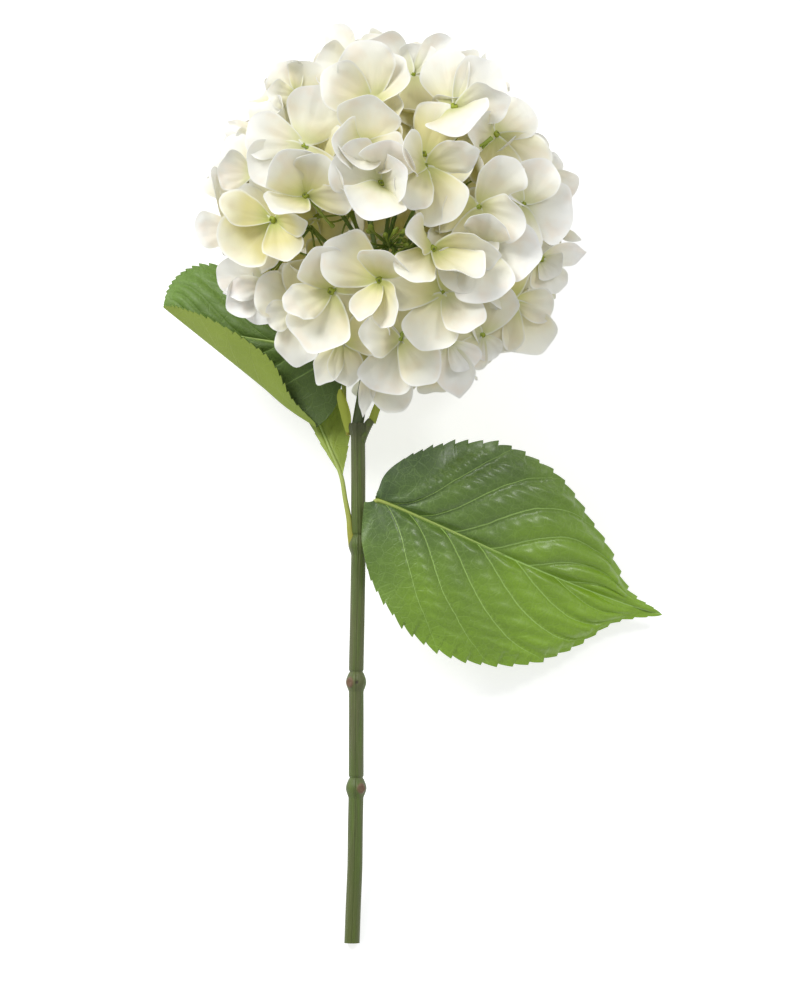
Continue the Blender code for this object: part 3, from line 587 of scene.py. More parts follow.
class Paint:
    """A material's nodes. Each method adds one and gives back its output, to feed into others."""

    def __init__(self, name, roughness, specular=0.5):
        self.material = bpy.data.materials.new(name)
        self.material.use_nodes = True
        self.tree = self.material.node_tree
        self.shader = self.tree.nodes["Principled BSDF"]
        self.shader.inputs["Roughness"].default_value = roughness
        self.shader.inputs["Specular IOR Level"].default_value = specular

    def feed(self, socket, value):
        """Links an output to the socket, or sets its number or its colour."""
        if isinstance(value, bpy.types.NodeSocket):
            self.tree.links.new(value, socket)
        else:
            socket.default_value = (*value, 1.0) if isinstance(value, tuple) else value

    def add(self, kind, feeds, output=0, **settings):
        node = self.tree.nodes.new(kind)
        for key, value in settings.items():
            setattr(node, key, value)
        for key, value in feeds.items():
            self.feed(node.inputs[key], value)
        return node.outputs[output]

    def math(self, operation, first, second=0.0):
        return self.add("ShaderNodeMath", {0: first, 1: second}, operation=operation)

    def sum(self, *terms):
        total = terms[0]
        for term in terms[1:]:
            total = self.math("ADD", total, term)
        return total

    def times(self, first, second):
        return self.math("MULTIPLY", first, second)

    def step(self, value, low, high, at_low=0.0, at_high=1.0):
        """A smooth step between two outputs as the value goes from low to high."""
        feeds = {"Value": value, "From Min": low, "From Max": high, "To Min": at_low, "To Max": at_high}
        return self.add("ShaderNodeMapRange", feeds, interpolation_type="SMOOTHSTEP")

    def mix(self, share, first, second):
        return self.add("ShaderNodeMix", {0: share, 6: first, 7: second}, output=2, data_type="RGBA")

    def split(self, vector):
        """The three parts of a vector."""
        node = self.tree.nodes.new("ShaderNodeSeparateXYZ")
        self.feed(node.inputs[0], vector)
        return tuple(node.outputs)

    def pattern(self):
        """The two coordinates of the pattern."""
        return self.split(self.add("ShaderNodeUVMap", {}, uv_map="pattern"))[:2]

    def tints(self):
        """The three tints of the piece."""
        return self.split(self.add("ShaderNodeAttribute", {}, output=1, attribute_name="tint"))

    def place(self):
        return self.add("ShaderNodeTexCoord", {}, output=3)

    def vector(self, x, y, z=0.0):
        return self.add("ShaderNodeCombineXYZ", {0: x, 1: y, 2: z})

    def noise(self, scale, detail=2.0, vector=None):
        """Soft noise over the piece, or over this vector."""
        vector = self.place() if vector is None else vector
        return self.add("ShaderNodeTexNoise", {"Vector": vector, "Scale": scale, "Detail": detail})

    def cells(self, scale):
        """How far a point is from the edge of its cell."""
        feeds = {"Vector": self.place(), "Scale": scale}
        return self.add("ShaderNodeTexVoronoi", feeds, feature="DISTANCE_TO_EDGE")

    def bump(self, height, distance, strength=1.0):
        feeds = {"Height": height, "Distance": distance, "Strength": strength}
        self.feed(self.shader.inputs["Normal"], self.add("ShaderNodeBump", feeds))

    def colour(self, value):
        self.feed(self.shader.inputs["Base Color"], value)

    def lit_through(self, colour, share):
        """Lets light through from behind, in this colour."""
        behind = self.add("ShaderNodeBsdfTranslucent", {"Color": colour})
        feeds = {0: share, 1: self.shader.outputs[0], 2: behind}
        mixed = self.add("ShaderNodeMixShader", feeds)
        self.feed(self.tree.nodes["Material Output"].inputs["Surface"], mixed)


def paint_sepal():
    """Cream silk, greener towards the bud, with fine veins that fan out from it, painted golden shade on
    sepals deep in the head and a painted highlight that whitens the rim.
    """
    paint = Paint("sepal", 0.55, 0.35)
    along, fan = paint.pattern()
    # the second tint is painted shade: the deeper a sepal lies in the head, the more golden it is painted
    green, depth, rim = paint.tints()
    soft = paint.noise(90.0)
    fanned = paint.vector(paint.times(fan, SEPAL_VEINS), paint.times(along, 2.0), paint.times(green, 37.0))
    veins = paint.noise(1.0, 3.0, fanned)
    inner = paint.step(along, 0.95, 0.10)
    # share of gold: more on greener florets and near the bud, and more with depth in the head, which is
    # painted shade
    gold_and_painted_shade = paint.sum(paint.times(green, paint.sum(paint.times(inner, 0.60), 0.24)),
                     paint.times(inner, 0.22), paint.times(depth, 0.80))
    near = paint.times(paint.step(along, 0.42, 0.02), paint.sum(paint.times(green, 0.4), 0.45))
    tone = paint.mix(paint.times(paint.step(soft, 0.45, 0.70), 0.6), SEPAL_WHITE, SEPAL_BLUSH)
    tone = paint.mix(gold_and_painted_shade, tone, SEPAL_GOLD_AND_SHADE)
    tone = paint.mix(near, tone, SEPAL_GREEN)
    tone = paint.mix(paint.times(paint.step(veins, 0.50, 0.72), 0.12), tone, SEPAL_BLUSH)
    # a painted highlight: each sepal's rim is mixed towards white
    tone = paint.mix(paint.times(paint.step(rim, 0.88, 1.0), 0.75), tone, SEPAL_WHITE)
    paint.colour(tone)
    paint.bump(veins, 0.00025, 0.5)
    paint.lit_through(tone, SEPAL_LIT_SHARE)
    return paint.material


def paint_branch():
    """Stalks inside the head: the first tint runs from dark green to yellow green, the second is bark."""
    paint = Paint("branch", 0.5)
    light, bark, _ = paint.tints()
    soft = paint.noise(300.0)
    tone = paint.mix(paint.step(light, 0.0, 1.0), BRANCH_DARK, BRANCH_LIGHT)
    tone = paint.mix(paint.times(soft, 0.35), tone, BRANCH_SOFT)
    paint.colour(paint.mix(bark, tone, BRANCH_BARK))
    paint.bump(soft, 0.0002, 0.5)
    return paint.material


def paint_eye():
    """The bud: yellow green, and darker at its top."""
    paint = Paint("eye", 0.5)
    top, _ = paint.pattern()
    paint.colour(paint.mix(paint.step(top, 0.78, 0.97), BUD_GREEN, BUD_TOP))
    return paint.material


def vein_lines(paint):
    """A leaf's two coordinates, and masks of its midrib with its laterals and of the net between them."""
    along, across = paint.pattern()
    rib, _, _ = paint.tints()
    out = paint.math("ABSOLUTE", paint.sum(paint.times(across, 2.0), -1.0))
    sweep = paint.times(paint.math("POWER", out, VEIN_CURVE), VEIN_SWEEP)
    root = paint.math("SUBTRACT", along, sweep)
    side = paint.times(paint.math("GREATER_THAN", across, 0.5), VEIN_OFFSET)
    wobble = paint.times(paint.noise(60.0), 0.16)
    phase = paint.sum(paint.times(root, VEIN_PAIRS), side, wobble, VEIN_START)
    beat = paint.math("PINGPONG", phase, 0.5)
    lateral = paint.step(paint.math("DIVIDE", beat, paint.step(out, 0.0, 1.0, *VEIN_BREADTHS)), 1.0, 0.35)
    started = paint.times(paint.step(along, 0.92, 0.72), paint.step(root, 0.0, 0.03))
    lateral = paint.times(lateral, paint.times(started, paint.step(out, 1.02, 0.70, 0.25, 1.0)))
    rib_breadth = paint.step(along, 0.0, 1.0, *RIB_BREADTHS)
    midrib = paint.step(paint.math("DIVIDE", rib, rib_breadth), 1.2, 0.6)
    net = paint.step(paint.cells(210.0), 0.07, 0.0)
    fine = paint.step(paint.cells(520.0), 0.09, 0.0)
    ladder = paint.math("MAXIMUM", paint.times(net, 0.8), paint.times(fine, 0.45))
    return along, across, paint.math("MAXIMUM", lateral, midrib), ladder


def paint_leaf(name, dark, light, vein, vein_share, roughness, coat, lit_share, gradient):
    """A leaf's upper side: glossy, quilted between light veins, and brighter along the gradient, which has
    its rise along the leaf, its rise across it and its start."""
    paint = Paint(name, roughness, 0.38)
    along, across, main, ladder = vein_lines(paint)
    broad = paint.noise(28.0, 3.0)
    grain = paint.noise(900.0, 2.0)
    share = paint.sum(paint.times(along, gradient[0]), paint.times(across, gradient[1]),
                      paint.times(broad, 0.7), gradient[2])
    tone = paint.mix(paint.step(share, 0.0, 1.0), dark, light)
    tone = paint.mix(paint.times(grain, 0.30), tone, dimmed(dark, 0.55))
    tone = paint.mix(paint.times(ladder, 0.16), tone, vein)
    tone = paint.mix(paint.times(main, vein_share), tone, vein)
    paint.colour(tone)
    height = paint.sum(paint.times(main, -0.35), paint.times(ladder, -0.25), paint.times(grain, 0.12))
    paint.bump(height, 0.0006, 0.8)
    paint.shader.inputs["Coat Weight"].default_value = coat
    paint.shader.inputs["Coat Roughness"].default_value = COAT_ROUGHNESS
    paint.lit_through(paint.mix(0.5, tone, light), lit_share)
    return paint.material


def paint_underside(name, tone, vein):
    """A leaf's lower side: paler and duller, with raised veins."""
    paint = Paint(name, 0.62, 0.3)
    _, _, main, ladder = vein_lines(paint)
    broad = paint.noise(40.0, 3.0)
    shade = paint.mix(paint.times(broad, 0.5), tone, dimmed(tone, 0.7))
    shade = paint.mix(paint.times(main, 0.5), shade, vein)
    paint.colour(paint.mix(paint.times(ladder, 0.12), shade, vein))
    paint.bump(paint.sum(paint.times(main, 0.8), paint.times(ladder, 0.4)), 0.0004, 0.7)
    return paint.material


def paint_stalk(name, low, high):
    """A leaf stalk or a bract: the pattern runs from one green to another along it."""
    paint = Paint(name, 0.5)
    along, _ = paint.pattern()
    soft = paint.noise(260.0, 3.0)
    paint.colour(paint.mix(paint.times(soft, 0.3), paint.mix(along, low, high), dimmed(low, 0.6)))
    paint.bump(soft, 0.0002, 0.4)
    return paint.material


def paint_stem():
    """Bark: olive green with long streaks, brown scars, and pale pith in the cut end."""
    paint = Paint("stem", 0.48, 0.4)
    height, turn = paint.pattern()
    scar, pit, pith = paint.tints()
    x, y = paint.math("COSINE", turn), paint.math("SINE", turn)
    broad = paint.noise(1.1, 3.0, paint.vector(x, y, paint.times(height, 5.0)))
    streak = paint.noise(7.0, 5.0, paint.vector(x, y, paint.times(height, 1.6)))
    streak = paint.step(streak, 0.38, 0.62)
    speck = paint.step(paint.noise(1300.0, 2.0), 0.64, 0.74)
    tone = paint.mix(paint.step(broad, 0.36, 0.62), BARK_GREEN, BARK_OLIVE)
    tone = paint.mix(paint.times(streak, 0.45), tone, BARK_STREAK)
    tone = paint.mix(paint.times(speck, 0.30), tone, BARK_SPECK)
    tone = paint.mix(paint.step(height, 0.28, 0.0, 0.0, 0.55), tone, BARK_FOOT)
    tone = paint.mix(paint.step(height, 0.955, 1.0, 0.0, 0.75), tone, BARK_COLLAR)
    tone = paint.mix(scar, tone, SCAR_BROWN)
    tone = paint.mix(pit, tone, PIT_BROWN)
    paint.colour(paint.mix(pith, tone, PITH_CREAM))
    paint.bump(paint.sum(streak, paint.times(speck, 0.3)), 0.00025, 0.7)
    return paint.material


# ---------------------------------------------------------------- stem

def above_table(points):
    """The points, with none below the table top."""
    lying = transformed(LYING, points)
    lying[..., 2] = np.maximum(lying[..., 2], 0.0)
    return transformed(STANDING, lying)


def stem_axis(height):
    return np.interp(height, [h for h, _ in STEM_AXIS], [x for _, x in STEM_AXIS])


def stem_radius(height):
    """The radius with its taper, its swollen nodes and the groove above each."""
    radius = STEM_RADIUS * (STEM_FOOT_SHARE + (STEM_TOP_SHARE - STEM_FOOT_SHARE) * height / STEM_TOP)
    radius = radius + BARK_LAYER
    for node in NODE_HEIGHTS:
        away = np.minimum(np.abs(height - node) / NODE_HALF_LENGTH, 1.0)
        radius = radius + NODE_SWELL * (0.5 + 0.5 * np.cos(math.pi * away)) ** NODE_FULLNESS
        radius = radius - GROOVE_DEPTH * np.exp(-((height - node - GROOVE_RISE) / GROOVE_BREADTH) ** 2)
    return radius


def scarred(h, t, radius):
    """The radius with its leaf scars, and masks of the scars and of the pits beside them."""
    scar, pit = np.zeros_like(h), np.zeros_like(h)
    for height, bearing in SCARS:
        around = (t - math.radians(bearing) + math.pi) % (2 * math.pi) - math.pi
        away = np.hypot(around * NODE_RADIUS / SCAR_RADIUS, (h - height) / (SCAR_RADIUS * SCAR_STRETCH))
        scar = np.maximum(scar, 1.0 - smoothstep(0.65, 1.05, away))
        radius = radius + SCAR_LIP * (1.0 - smoothstep(0.5, 1.1, away))
        radius = radius - SCAR_DIP * (1.0 - smoothstep(0.0, 0.7, away))
        beside = np.hypot((around - PIT_TURN) * NODE_RADIUS / PIT_SIZE[0], (h - height) / PIT_SIZE[1])
        pit = np.maximum(pit, 1.0 - smoothstep(0.5, 1.2, beside))
    return radius - PIT_DEPTH * pit, scar, pit


def stem_heights():
    """The heights of the stem's rings, closer together at the nodes."""
    parts = [np.linspace(0.0, BARK_TOP, STEM_RINGS)]
    for node in NODE_HEIGHTS:
        parts.append(np.linspace(max(node - NODE_REACH, 0), min(node + NODE_REACH, BARK_TOP), NODE_RINGS))
    return np.unique(np.concatenate(parts))


def make_stem():
    """A round stem with swollen nodes, leaf scars and flat ends, and the stub beside its top."""
    heights = stem_heights()
    h, t = np.meshgrid(heights, ring(STEM_SIDES), indexing="ij")
    radius, scar, pit = scarred(h, t, stem_radius(h))
    unround = 1.0
    for size, count, twist in STEM_WAVES:
        unround = unround + size * np.sin(count * t + twist * h)
    radius = radius * unround
    points = stacked(stem_axis(h) + radius * np.sin(t), h, radius * np.cos(t))
    tint = stacked(scar * SCAR_SHARE, pit * PIT_SHARE, 0.0)
    pattern = stacked(h / BARK_TOP, t)
    caps = []
    for end, shares in ((0, FOOT_RINGS), (-1, TOP_RINGS)):
        centre = np.array([stem_axis(heights[end]), heights[end], 0.0])
        caps.append(np.array([centre + (points[end] - centre) * share for share in shares]))
    foot, top = caps
    foot_tint = stacked(0.0, 0.0, np.broadcast_to(np.array(FOOT_PITH)[:, None], foot.shape[:2]))
    points = np.concatenate([foot, points, top])
    tint = np.concatenate([foot_tint, tint, np.zeros(top.shape)])
    pattern = np.concatenate([np.repeat(pattern[:1], len(foot), 0), pattern,
                              np.repeat(pattern[-1:], len(top), 0)])
    skin = Skin()
    skin.grid(above_table(points), pattern, tint, around=True)
    skin.tube(curve_in_mm(STUB_MM, 12), even(STUB_RADII_MM), 20)
    piece = skin.build("stem_bark", [paint_stem()], ["stem"])
    piece.data.set_sharp_from_angle(angle=STEM_SHARP_ANGLE)


# ---------------------------------------------------------------- leaves

def pull_teeth(points, lines, along, teeth, teeth_from, tooth_depth, seed):
    """Pulls both margins of a blade out into teeth that point forward. They fade in along it."""
    spot = along * teeth
    part = spot - np.floor(spot)
    shape = np.where(part < TOOTH_BACK, (part / TOOTH_BACK) ** TOOTH_FULLNESS,
                     (1.0 - part) / (1.0 - TOOTH_BACK))
    draw = np.random.default_rng(seed)
    size = 1.0 + TOOTH_SPREAD * draw.uniform(-1, 1, teeth + 1)[np.minimum(spot.astype(int), teeth)]
    for margin, inward in ((0, 1), (-1, -1)):
        breadth = np.linalg.norm(lines[margin] - lines[margin + inward], axis=1)
        depth = tooth_depth * size * shape * np.minimum(1.0, breadth / TOOTH_ROOM)
        depth = depth * smoothstep(teeth_from + TOOTH_FADE[0], teeth_from + TOOTH_FADE[1], along)
        out = unit(points[margin] - points[margin + 3 * inward])
        out = out + TOOTH_LEAN * unit(np.gradient(points[margin], axis=0))
        for row, share in enumerate(TOOTH_PULL):
            points[margin + row * inward] += out * (depth * share)[:, None]


def leaf_relief(along, signed, rib, edge, quilt, wave, calm):
    """How far a blade's surface stands off its middle: quilted between the veins, grooved along the rib
    and waved at the margin. signed goes from -1 to 1 across it, and it is calm from there on."""
    out = np.abs(signed)[:, None]
    root = along - VEIN_SWEEP * out ** VEIN_CURVE
    phase = root * VEIN_PAIRS + np.where(signed > 0, VEIN_OFFSET, 0.0)[:, None]
    pillow = 1.0 - (np.abs((phase + VEIN_START) % 1.0 - 0.5) * 2.0) ** PILLOW_FULLNESS
    rungs = np.sin(rib / RUNG_GAP * math.pi + 2.2 * np.sin(phase * 1.7) + phase * RUNG_SLANT)
    fade = smoothstep(0.0, QUILT_FROM_RIB, rib) * smoothstep(0.0, QUILT_FROM_EDGE, edge)
    fade = fade * smoothstep(*QUILT_TIP, along) * smoothstep(0.0, QUILT_ROOT, root)
    ripple = RIPPLE_SHARES[0] + RIPPLE_SHARES[1] * smoothstep(*RIPPLE_SPAN, out)
    height = quilt * fade * pillow * (1.0 + ripple * rungs)
    height = height - RIB_DEPTH * np.exp(-(rib / RIB_BREADTH) ** 2) * smoothstep(1.0, 0.7, along)
    margin = np.sin(along * MARGIN_WAVES + 2.0 * np.sign(signed)[:, None])
    height = height + wave * smoothstep(MARGIN_BREADTH, 0.0, edge) * margin
    return height * smoothstep(calm, calm - 0.25, signed)[:, None]


def leaf_surface(rails_mm, rib_rail, teeth, teeth_from, tooth_depth, quilt, wave, calm, side, seed):
    """A blade's middle surface: its points in rows and columns, its pattern and its tints, of which the
    first is the distance from the rib and the second the distance from the margin."""
    rails = np.array(rails_mm, float) * MM
    along = np.linspace(0.0, 1.0, teeth * TOOTH_CELLS + 1)
    signed = np.linspace(-1.0, 1.0, LEAF_ROWS + 1)
    signed = np.sign(signed) * np.abs(signed) ** ROW_CROWDING
    rails_above, rails_below = rib_rail, len(rails) - 1 - rib_rail
    across = np.where(signed < 0, rib_rail + signed * rails_above, rib_rail + signed * rails_below)
    lines = curve_through(rails.transpose(1, 0, 2), along).transpose(1, 0, 2)
    points = curve_through(lines, across / (len(rails) - 1))
    pull_teeth(points, lines, along, teeth, teeth_from, tooth_depth, seed)
    gaps = np.linalg.norm(np.diff(points, axis=0), axis=2)
    length = np.concatenate([np.zeros((1, len(along))), np.cumsum(gaps, axis=0)])
    rib = np.abs(length - length[LEAF_ROWS // 2])
    half = np.where(signed[:, None] < 0, rib[0], rib[-1])
    edge = np.maximum(half - rib, 0.0)
    height = leaf_relief(along, signed, rib, edge, quilt, wave, calm)
    upward = unit(np.cross(np.gradient(points, axis=1), np.gradient(points, axis=0))) * side
    pattern = stacked(along, (signed[:, None] + 1.0) / 2.0)
    return points + upward * height[:, :, None], pattern, stacked(rib, edge, 0.0)


def make_leaf(node, rails_mm, form, finishes, stalk_mm, stalk_radii_mm, stalk_finish):
    skin = Skin()
    skin.grid(*leaf_surface(rails_mm, **form), turned=form["side"] < 0)
    skin.build(node + "_blade", finishes, [node], LEAF_THICKNESS)
    stalk = Skin()
    stalk.tube(curve_in_mm(stalk_mm, 60), even(stalk_radii_mm), 16)
    stalk.build(node + "_stalk", [stalk_finish], [node])


def make_bract(node, rails_mm, finish):
    rails = np.array(rails_mm, float) * MM
    along, across = np.linspace(0, 1, 33), np.linspace(0, 1, 17)
    points = curve_through(curve_through(rails.transpose(1, 0, 2), along).transpose(1, 0, 2), across)
    skin = Skin()
    skin.grid(points, stacked(along, across[:, None]))
    skin.build(node + "_blade", [finish], [node], BRACT_THICKNESS)


def make_leaves():
    tops = [paint_leaf(name, **finish) for name, finish in LEAF_FINISHES.items()]
    under = paint_underside("leaf_under", UNDERSIDE_GREEN, UNDERSIDE_VEIN)
    stalk = paint_stalk("leaf_stalk", *STALK_GREENS)
    bract = paint_stalk("bract", *BRACT_GREENS)
    make_leaf("leaf_right", RIGHT_RAILS_MM, RIGHT_FORM, [tops[0], under],
              RIGHT_STALK_MM, RIGHT_STALK_RADII_MM, stalk)
    make_leaf("leaf_left", LEFT_RAILS_MM, LEFT_FORM, [tops[1], under],
              LEFT_STALK_MM, LEFT_STALK_RADII_MM, stalk)
    make_leaf("leaf_small", SMALL_RAILS_MM, SMALL_FORM, [tops[2], under],
              SMALL_STALK_MM, SMALL_STALK_RADII_MM, stalk)
    make_bract("bract_left", LEFT_BRACT_MM, bract)
    make_bract("bract_right", RIGHT_BRACT_MM, bract)


# ---------------------------------------------------------------- flower head

def spread(count, low, high):
    """Directions spread evenly round +Y, between two heights on the unit ball."""
    golden = math.pi * (3.0 - math.sqrt(5.0))
    for i in range(count):
        height = high + (low - high) * (i + 0.5) / count
        reach = math.sqrt(1.0 - height * height)
        yield Vector((reach * math.cos(golden * i), height, reach * math.sin(golden * i)))


def drawn_way(draw):
    """A vector with each part between -1 and 1."""
    return Vector([draw.uniform(-1, 1) for _ in range(3)])


def drawn_angle(draw, degrees):
    """An angle from this range of degrees."""
    return math.radians(draw.uniform(*degrees))


def leaf_points():
    """Places on the leaves, for the florets to keep clear of."""
    points = []
    for rails_mm in (LEFT_RAILS_MM, SMALL_RAILS_MM):
        for rail in rails_mm:
            points += [Vector(place) for place in curve_in_mm(rail, LEAF_STEPS + 1)]
    return points


def floret_place(centre, face, spin):
    """The frame of a floret at this place, which faces this way."""
    across = Vector((1, 0, 0)) if abs(face.x) < 0.9 else Vector((0, 1, 0))
    across = (across - face * across.dot(face)).normalized()
    turn = Matrix((across, face.cross(across), face)).transposed().to_4x4()
    return Matrix.Translation(centre) @ turn @ Matrix.Rotation(spin, 4, "Z")


def floret_frames():
    """Each floret's frame and size, by the part's own rule: its origin is under the bud and +Z is the way it
    faces. Those of the face come first; the rest go one after the other wherever the ball is barest."""
    draw = random.Random(SEED)
    ways, frames = [], []
    for right, up, lean_right, lean_up, spin, size in FACE_FLORETS:
        flat = Vector((right, up, 0)) * MM
        out = math.sqrt(max(HEAD_RADIUS ** 2 - flat.length_squared, 0.0))
        way = (flat + Vector((0, 0, out))).normalized()
        ways.append(way)
        face = way + Vector((math.radians(lean_right), math.radians(lean_up), 0.0))
        frames.append((way, face.normalized(), math.radians(spin), size, draw.uniform(0.0, FACE_SINK)))
    leaves = leaf_points()
    neck = (PEDUNCLE_BASE - HEAD_CENTRE).normalized()
    front = Vector((0, 0, 1))
    candidates = []
    for way in spread(FILL_CANDIDATES, -1.0, 1.0):
        bud = HEAD_CENTRE + way * HEAD_RADIUS
        clear = min((bud - point).length for point in leaves) > LEAF_CLEARANCE
        if clear and way.angle(neck) > NECK_CLEARANCE and way.angle(front) > FILL_FROM_FACE:
            candidates.append(way)
    nearest = [min(way.angle(other) for other in ways) for way in candidates]
    while len(frames) < FLORET_COUNT:
        way = candidates[nearest.index(max(nearest))]
        nearest = [min(gap, other.angle(way)) for gap, other in zip(nearest, candidates)]
        lean = drawn_way(draw) * math.sin(LEAN)
        frames.append((way, (way + lean).normalized(), draw.uniform(0, math.pi),
                       draw.uniform(*FILL_SIZES), draw.uniform(0.0, FILL_SINK)))
    return [(floret_place(HEAD_CENTRE + way * (HEAD_RADIUS - sink), face, spin), size)
            for way, face, spin, size, sink in frames]


def inner_frames():
    """Florets deeper in the head, seen between the others. None stands in the opening in its face."""
    draw = random.Random(SEED + 4)
    neck = (PEDUNCLE_BASE - HEAD_CENTRE).normalized()
    opening = Vector(OPENING_WAY).normalized()
    placed = []
    for way in spread(INNER_COUNT, -1.0, 1.0):
        reach = HEAD_RADIUS * draw.uniform(*INNER_REACH)
        lean = drawn_way(draw) * INNER_LEAN
        spin, size = draw.uniform(0, math.pi), draw.uniform(*INNER_SIZES)
        if way.angle(neck) < INNER_NECK or way.angle(opening) < OPENING_ANGLE:
            continue
        placed.append((floret_place(HEAD_CENTRE + way * reach, (way + lean).normalized(), spin), size))
    return placed


def pressed(points):
    """The places of a sepal's points once the table holds them up."""
    lying = transformed(LYING, points)
    depth = np.minimum((lying[..., 2] - PRESS_FLOOR) / PRESS_BLEND, PRESS_REACH)
    held = PRESS_FLOOR + PRESS_BLEND * np.log1p(np.exp(depth))
    lying[..., 2] = np.where(depth < PRESS_REACH, held, lying[..., 2])
    return transformed(STANDING, lying)


def disc_grid(cells):
    """A square grid squeezed into a disc: x across and y from base to tip, both from -1 to 1."""
    line = np.linspace(-1.0, 1.0, cells + 1)
    x, y = np.meshgrid(line, line)
    return x * np.sqrt(1.0 - y * y / 2.0), y * np.sqrt(1.0 - x * x / 2.0)


DISC_X, DISC_Y = disc_grid(SEPAL_CELLS)
DISC_RIM = np.hypot(DISC_X, DISC_Y)
DISC_TURN = np.arctan2(DISC_X, DISC_Y)


def sepal_points(rise, length, half_width, curl, draw, point=0.0):
    """A sepal's middle surface in its floret's frame. It leaves the bud along +X, curls about its chord, and
    is cupped across, with a waved rim and this much of a point at its tip."""
    # the outline, uneven but for its foot, with a drawn notch or bulge and the point at its tip
    uneven = sum(size * np.sin(count * DISC_TURN + draw.uniform(*ANY_TURN)) for size, count in OUTLINE_WAVES)
    swell = 1.0 + uneven * DISC_RIM ** 3 * smoothstep(-1.0, 0.2, DISC_Y)
    x, y = DISC_X * swell, DISC_Y * swell
    share = np.maximum((y + 1.0) / 2.0, 0.0)
    share = share + draw.uniform(*TIP_BULGES) * np.exp(-(x / 0.28) ** 2) * share ** 6
    share = share + point / length * np.exp(-np.abs(x / 0.30)) * share ** 4
    # the chord, bent into an arc that keeps its length
    curl = math.copysign(max(abs(curl), LEAST_CURL), curl)
    angle = rise + curl * (share - 0.5)
    low = rise - curl / 2.0
    run = length * (np.sin(angle) - np.sin(low)) / curl
    climb = length * (np.cos(low) - np.cos(angle)) / curl
    side = half_width * (FOOT_BREADTH + TIP_BREADTH * share) * x * (1.0 - 60.0 * point * share ** 3)
    # what stands off that arc: the cup, the waves of the rim, the tilt, the crease and the pleats
    lift = draw.uniform(*CUPS) * side * side / half_width * share
    for heights, counts, rim_power, share_power in RIM_WAVES:
        height = draw.uniform(*heights) * DISC_RIM ** rim_power * share ** share_power
        lift = lift + height * np.sin(draw.choice(counts) * DISC_TURN + draw.uniform(*ANY_TURN))
    lift = lift + drawn_angle(draw, TILTS) * side * share
    lift = lift - draw.uniform(*RIM_TURNS) * RIM_TURN * smoothstep(0.60, 1.0, DISC_RIM) ** 2 * share
    lift = lift - CREASE_DEPTH * np.exp(-(x / CREASE_BREADTH) ** 2) * np.sin(math.pi * share)
    fan = np.arctan2(side, length * share + 0.001)
    lift = lift + PLEAT_HEIGHT * np.sin(fan * PLEATS + draw.uniform(*ANY_TURN)) * np.sin(math.pi * share)
    skew = draw.uniform(*SKEWS) * share ** 2
    points = stacked(run - np.sin(angle) * lift, side + skew, climb + np.cos(angle) * lift)
    return points, stacked(share, fan / math.pi + 0.5)


def face_sepal(bud, sepal, draw):
    """A sepal of a floret in front: its points and its pattern."""
    heading, rise, length, breadth, curl, roll, point = (*sepal, 0, 0)[:7]
    heading, rise, curl, roll = (math.radians(angle) for angle in (heading, rise, curl, roll))
    points, pattern = sepal_points(rise, length * MM, breadth * MM / 2.0, curl, draw, point * MM)
    chord = Vector((math.cos(rise), 0.0, math.sin(rise)))
    turn = Matrix.Translation(bud) @ Matrix.Rotation(heading, 4, "Z") @ Matrix.Rotation(roll, 4, chord)
    return transformed(turn, points), pattern


def other_sepal(place, size, quarter, share, draw):
    """One of the four sepals of any other floret, this share of its full length."""
    rise = (INNER_RISE if quarter % 2 else OUTER_RISE) + drawn_angle(draw, RISE_SPREAD)
    rise = rise + drawn_angle(draw, BEND_SPREAD)
    swing = drawn_angle(draw, SWING_SPREAD)
    length = SEPAL_LENGTH * size * share * draw.uniform(*LENGTH_SPREAD)
    half_width = SEPAL_HALF_WIDTH * size * math.sqrt(share) * draw.uniform(*WIDTH_SPREAD)
    points, pattern = sepal_points(rise, length, half_width, drawn_angle(draw, CURL_SPREAD), draw)
    turn = place @ Matrix.Rotation(math.radians(90 * quarter) + swing, 4, "Z")
    return transformed(turn, points), pattern


def make_florets(name, places, face_sepals, short, finish, seed):
    """The sepals of these florets, in one piece. Florets in front have theirs given one by one."""
    draw = random.Random(seed)
    skin = Skin()
    for number, (place, size) in enumerate(places):
        green = FACE_GREENS[number] if face_sepals else draw.uniform(*OTHER_GREENS)
        if face_sepals:
            sepals = [face_sepal(place.translation, sepal, draw) for sepal in face_sepals[number]]
        else:
            sepals = [other_sepal(place, size, quarter, short.get((number, quarter), 1.0), draw)
                      for quarter in range(4)]
        for points, pattern in sepals:
            depth = HEAD_RADIUS - np.linalg.norm(points - np.array(HEAD_CENTRE), axis=2)
            tone = green + draw.uniform(-GREEN_SPREAD, GREEN_SPREAD)
            # the second tint is painted shade by depth in the head; the third is the distance to the rim, for
            # its painted highlight
            skin.grid(pressed(points), pattern, stacked(tone, smoothstep(*PAINTED_SHADE_DEPTHS, depth), DISC_RIM))
    skin.build(name, [finish], ["flower_head"], SEPAL_THICKNESS)


def make_eyes(places):
    """A small four-lobed bud in the middle of each floret."""
    skin = Skin()
    turn = ring(20)
    tilt = np.linspace(0.0, math.pi, 10)[:, None]
    radius = BUD_RADIUS * (1.0 + BUD_LOBE * np.cos(4.0 * turn) * np.sin(tilt))
    dent = 1.0 - BUD_DENT * np.exp(-(tilt - math.pi) ** 2 / 0.12)
    reach = radius * np.sin(tilt)
    height = BUD_RISE - BUD_HALF_HEIGHT * np.cos(tilt) * dent
    ball = stacked(reach * np.cos(turn), reach * np.sin(turn), height)
    pattern = stacked(tilt / math.pi, turn / (2.0 * math.pi))
    for place, size in places:
        skin.grid(transformed(place, ball * size), pattern, around=True)
    skin.build("eyes", [paint_eye()], ["flower_head"])


def bowed(start, end, bow, steps):
    """Places along a curve from start to end that bows aside by this much."""
    shares = np.linspace(0.0, 1.0, steps)[:, None]
    return np.array(start) + shares * np.array(end - start) + np.sin(math.pi * shares) * np.array(bow)


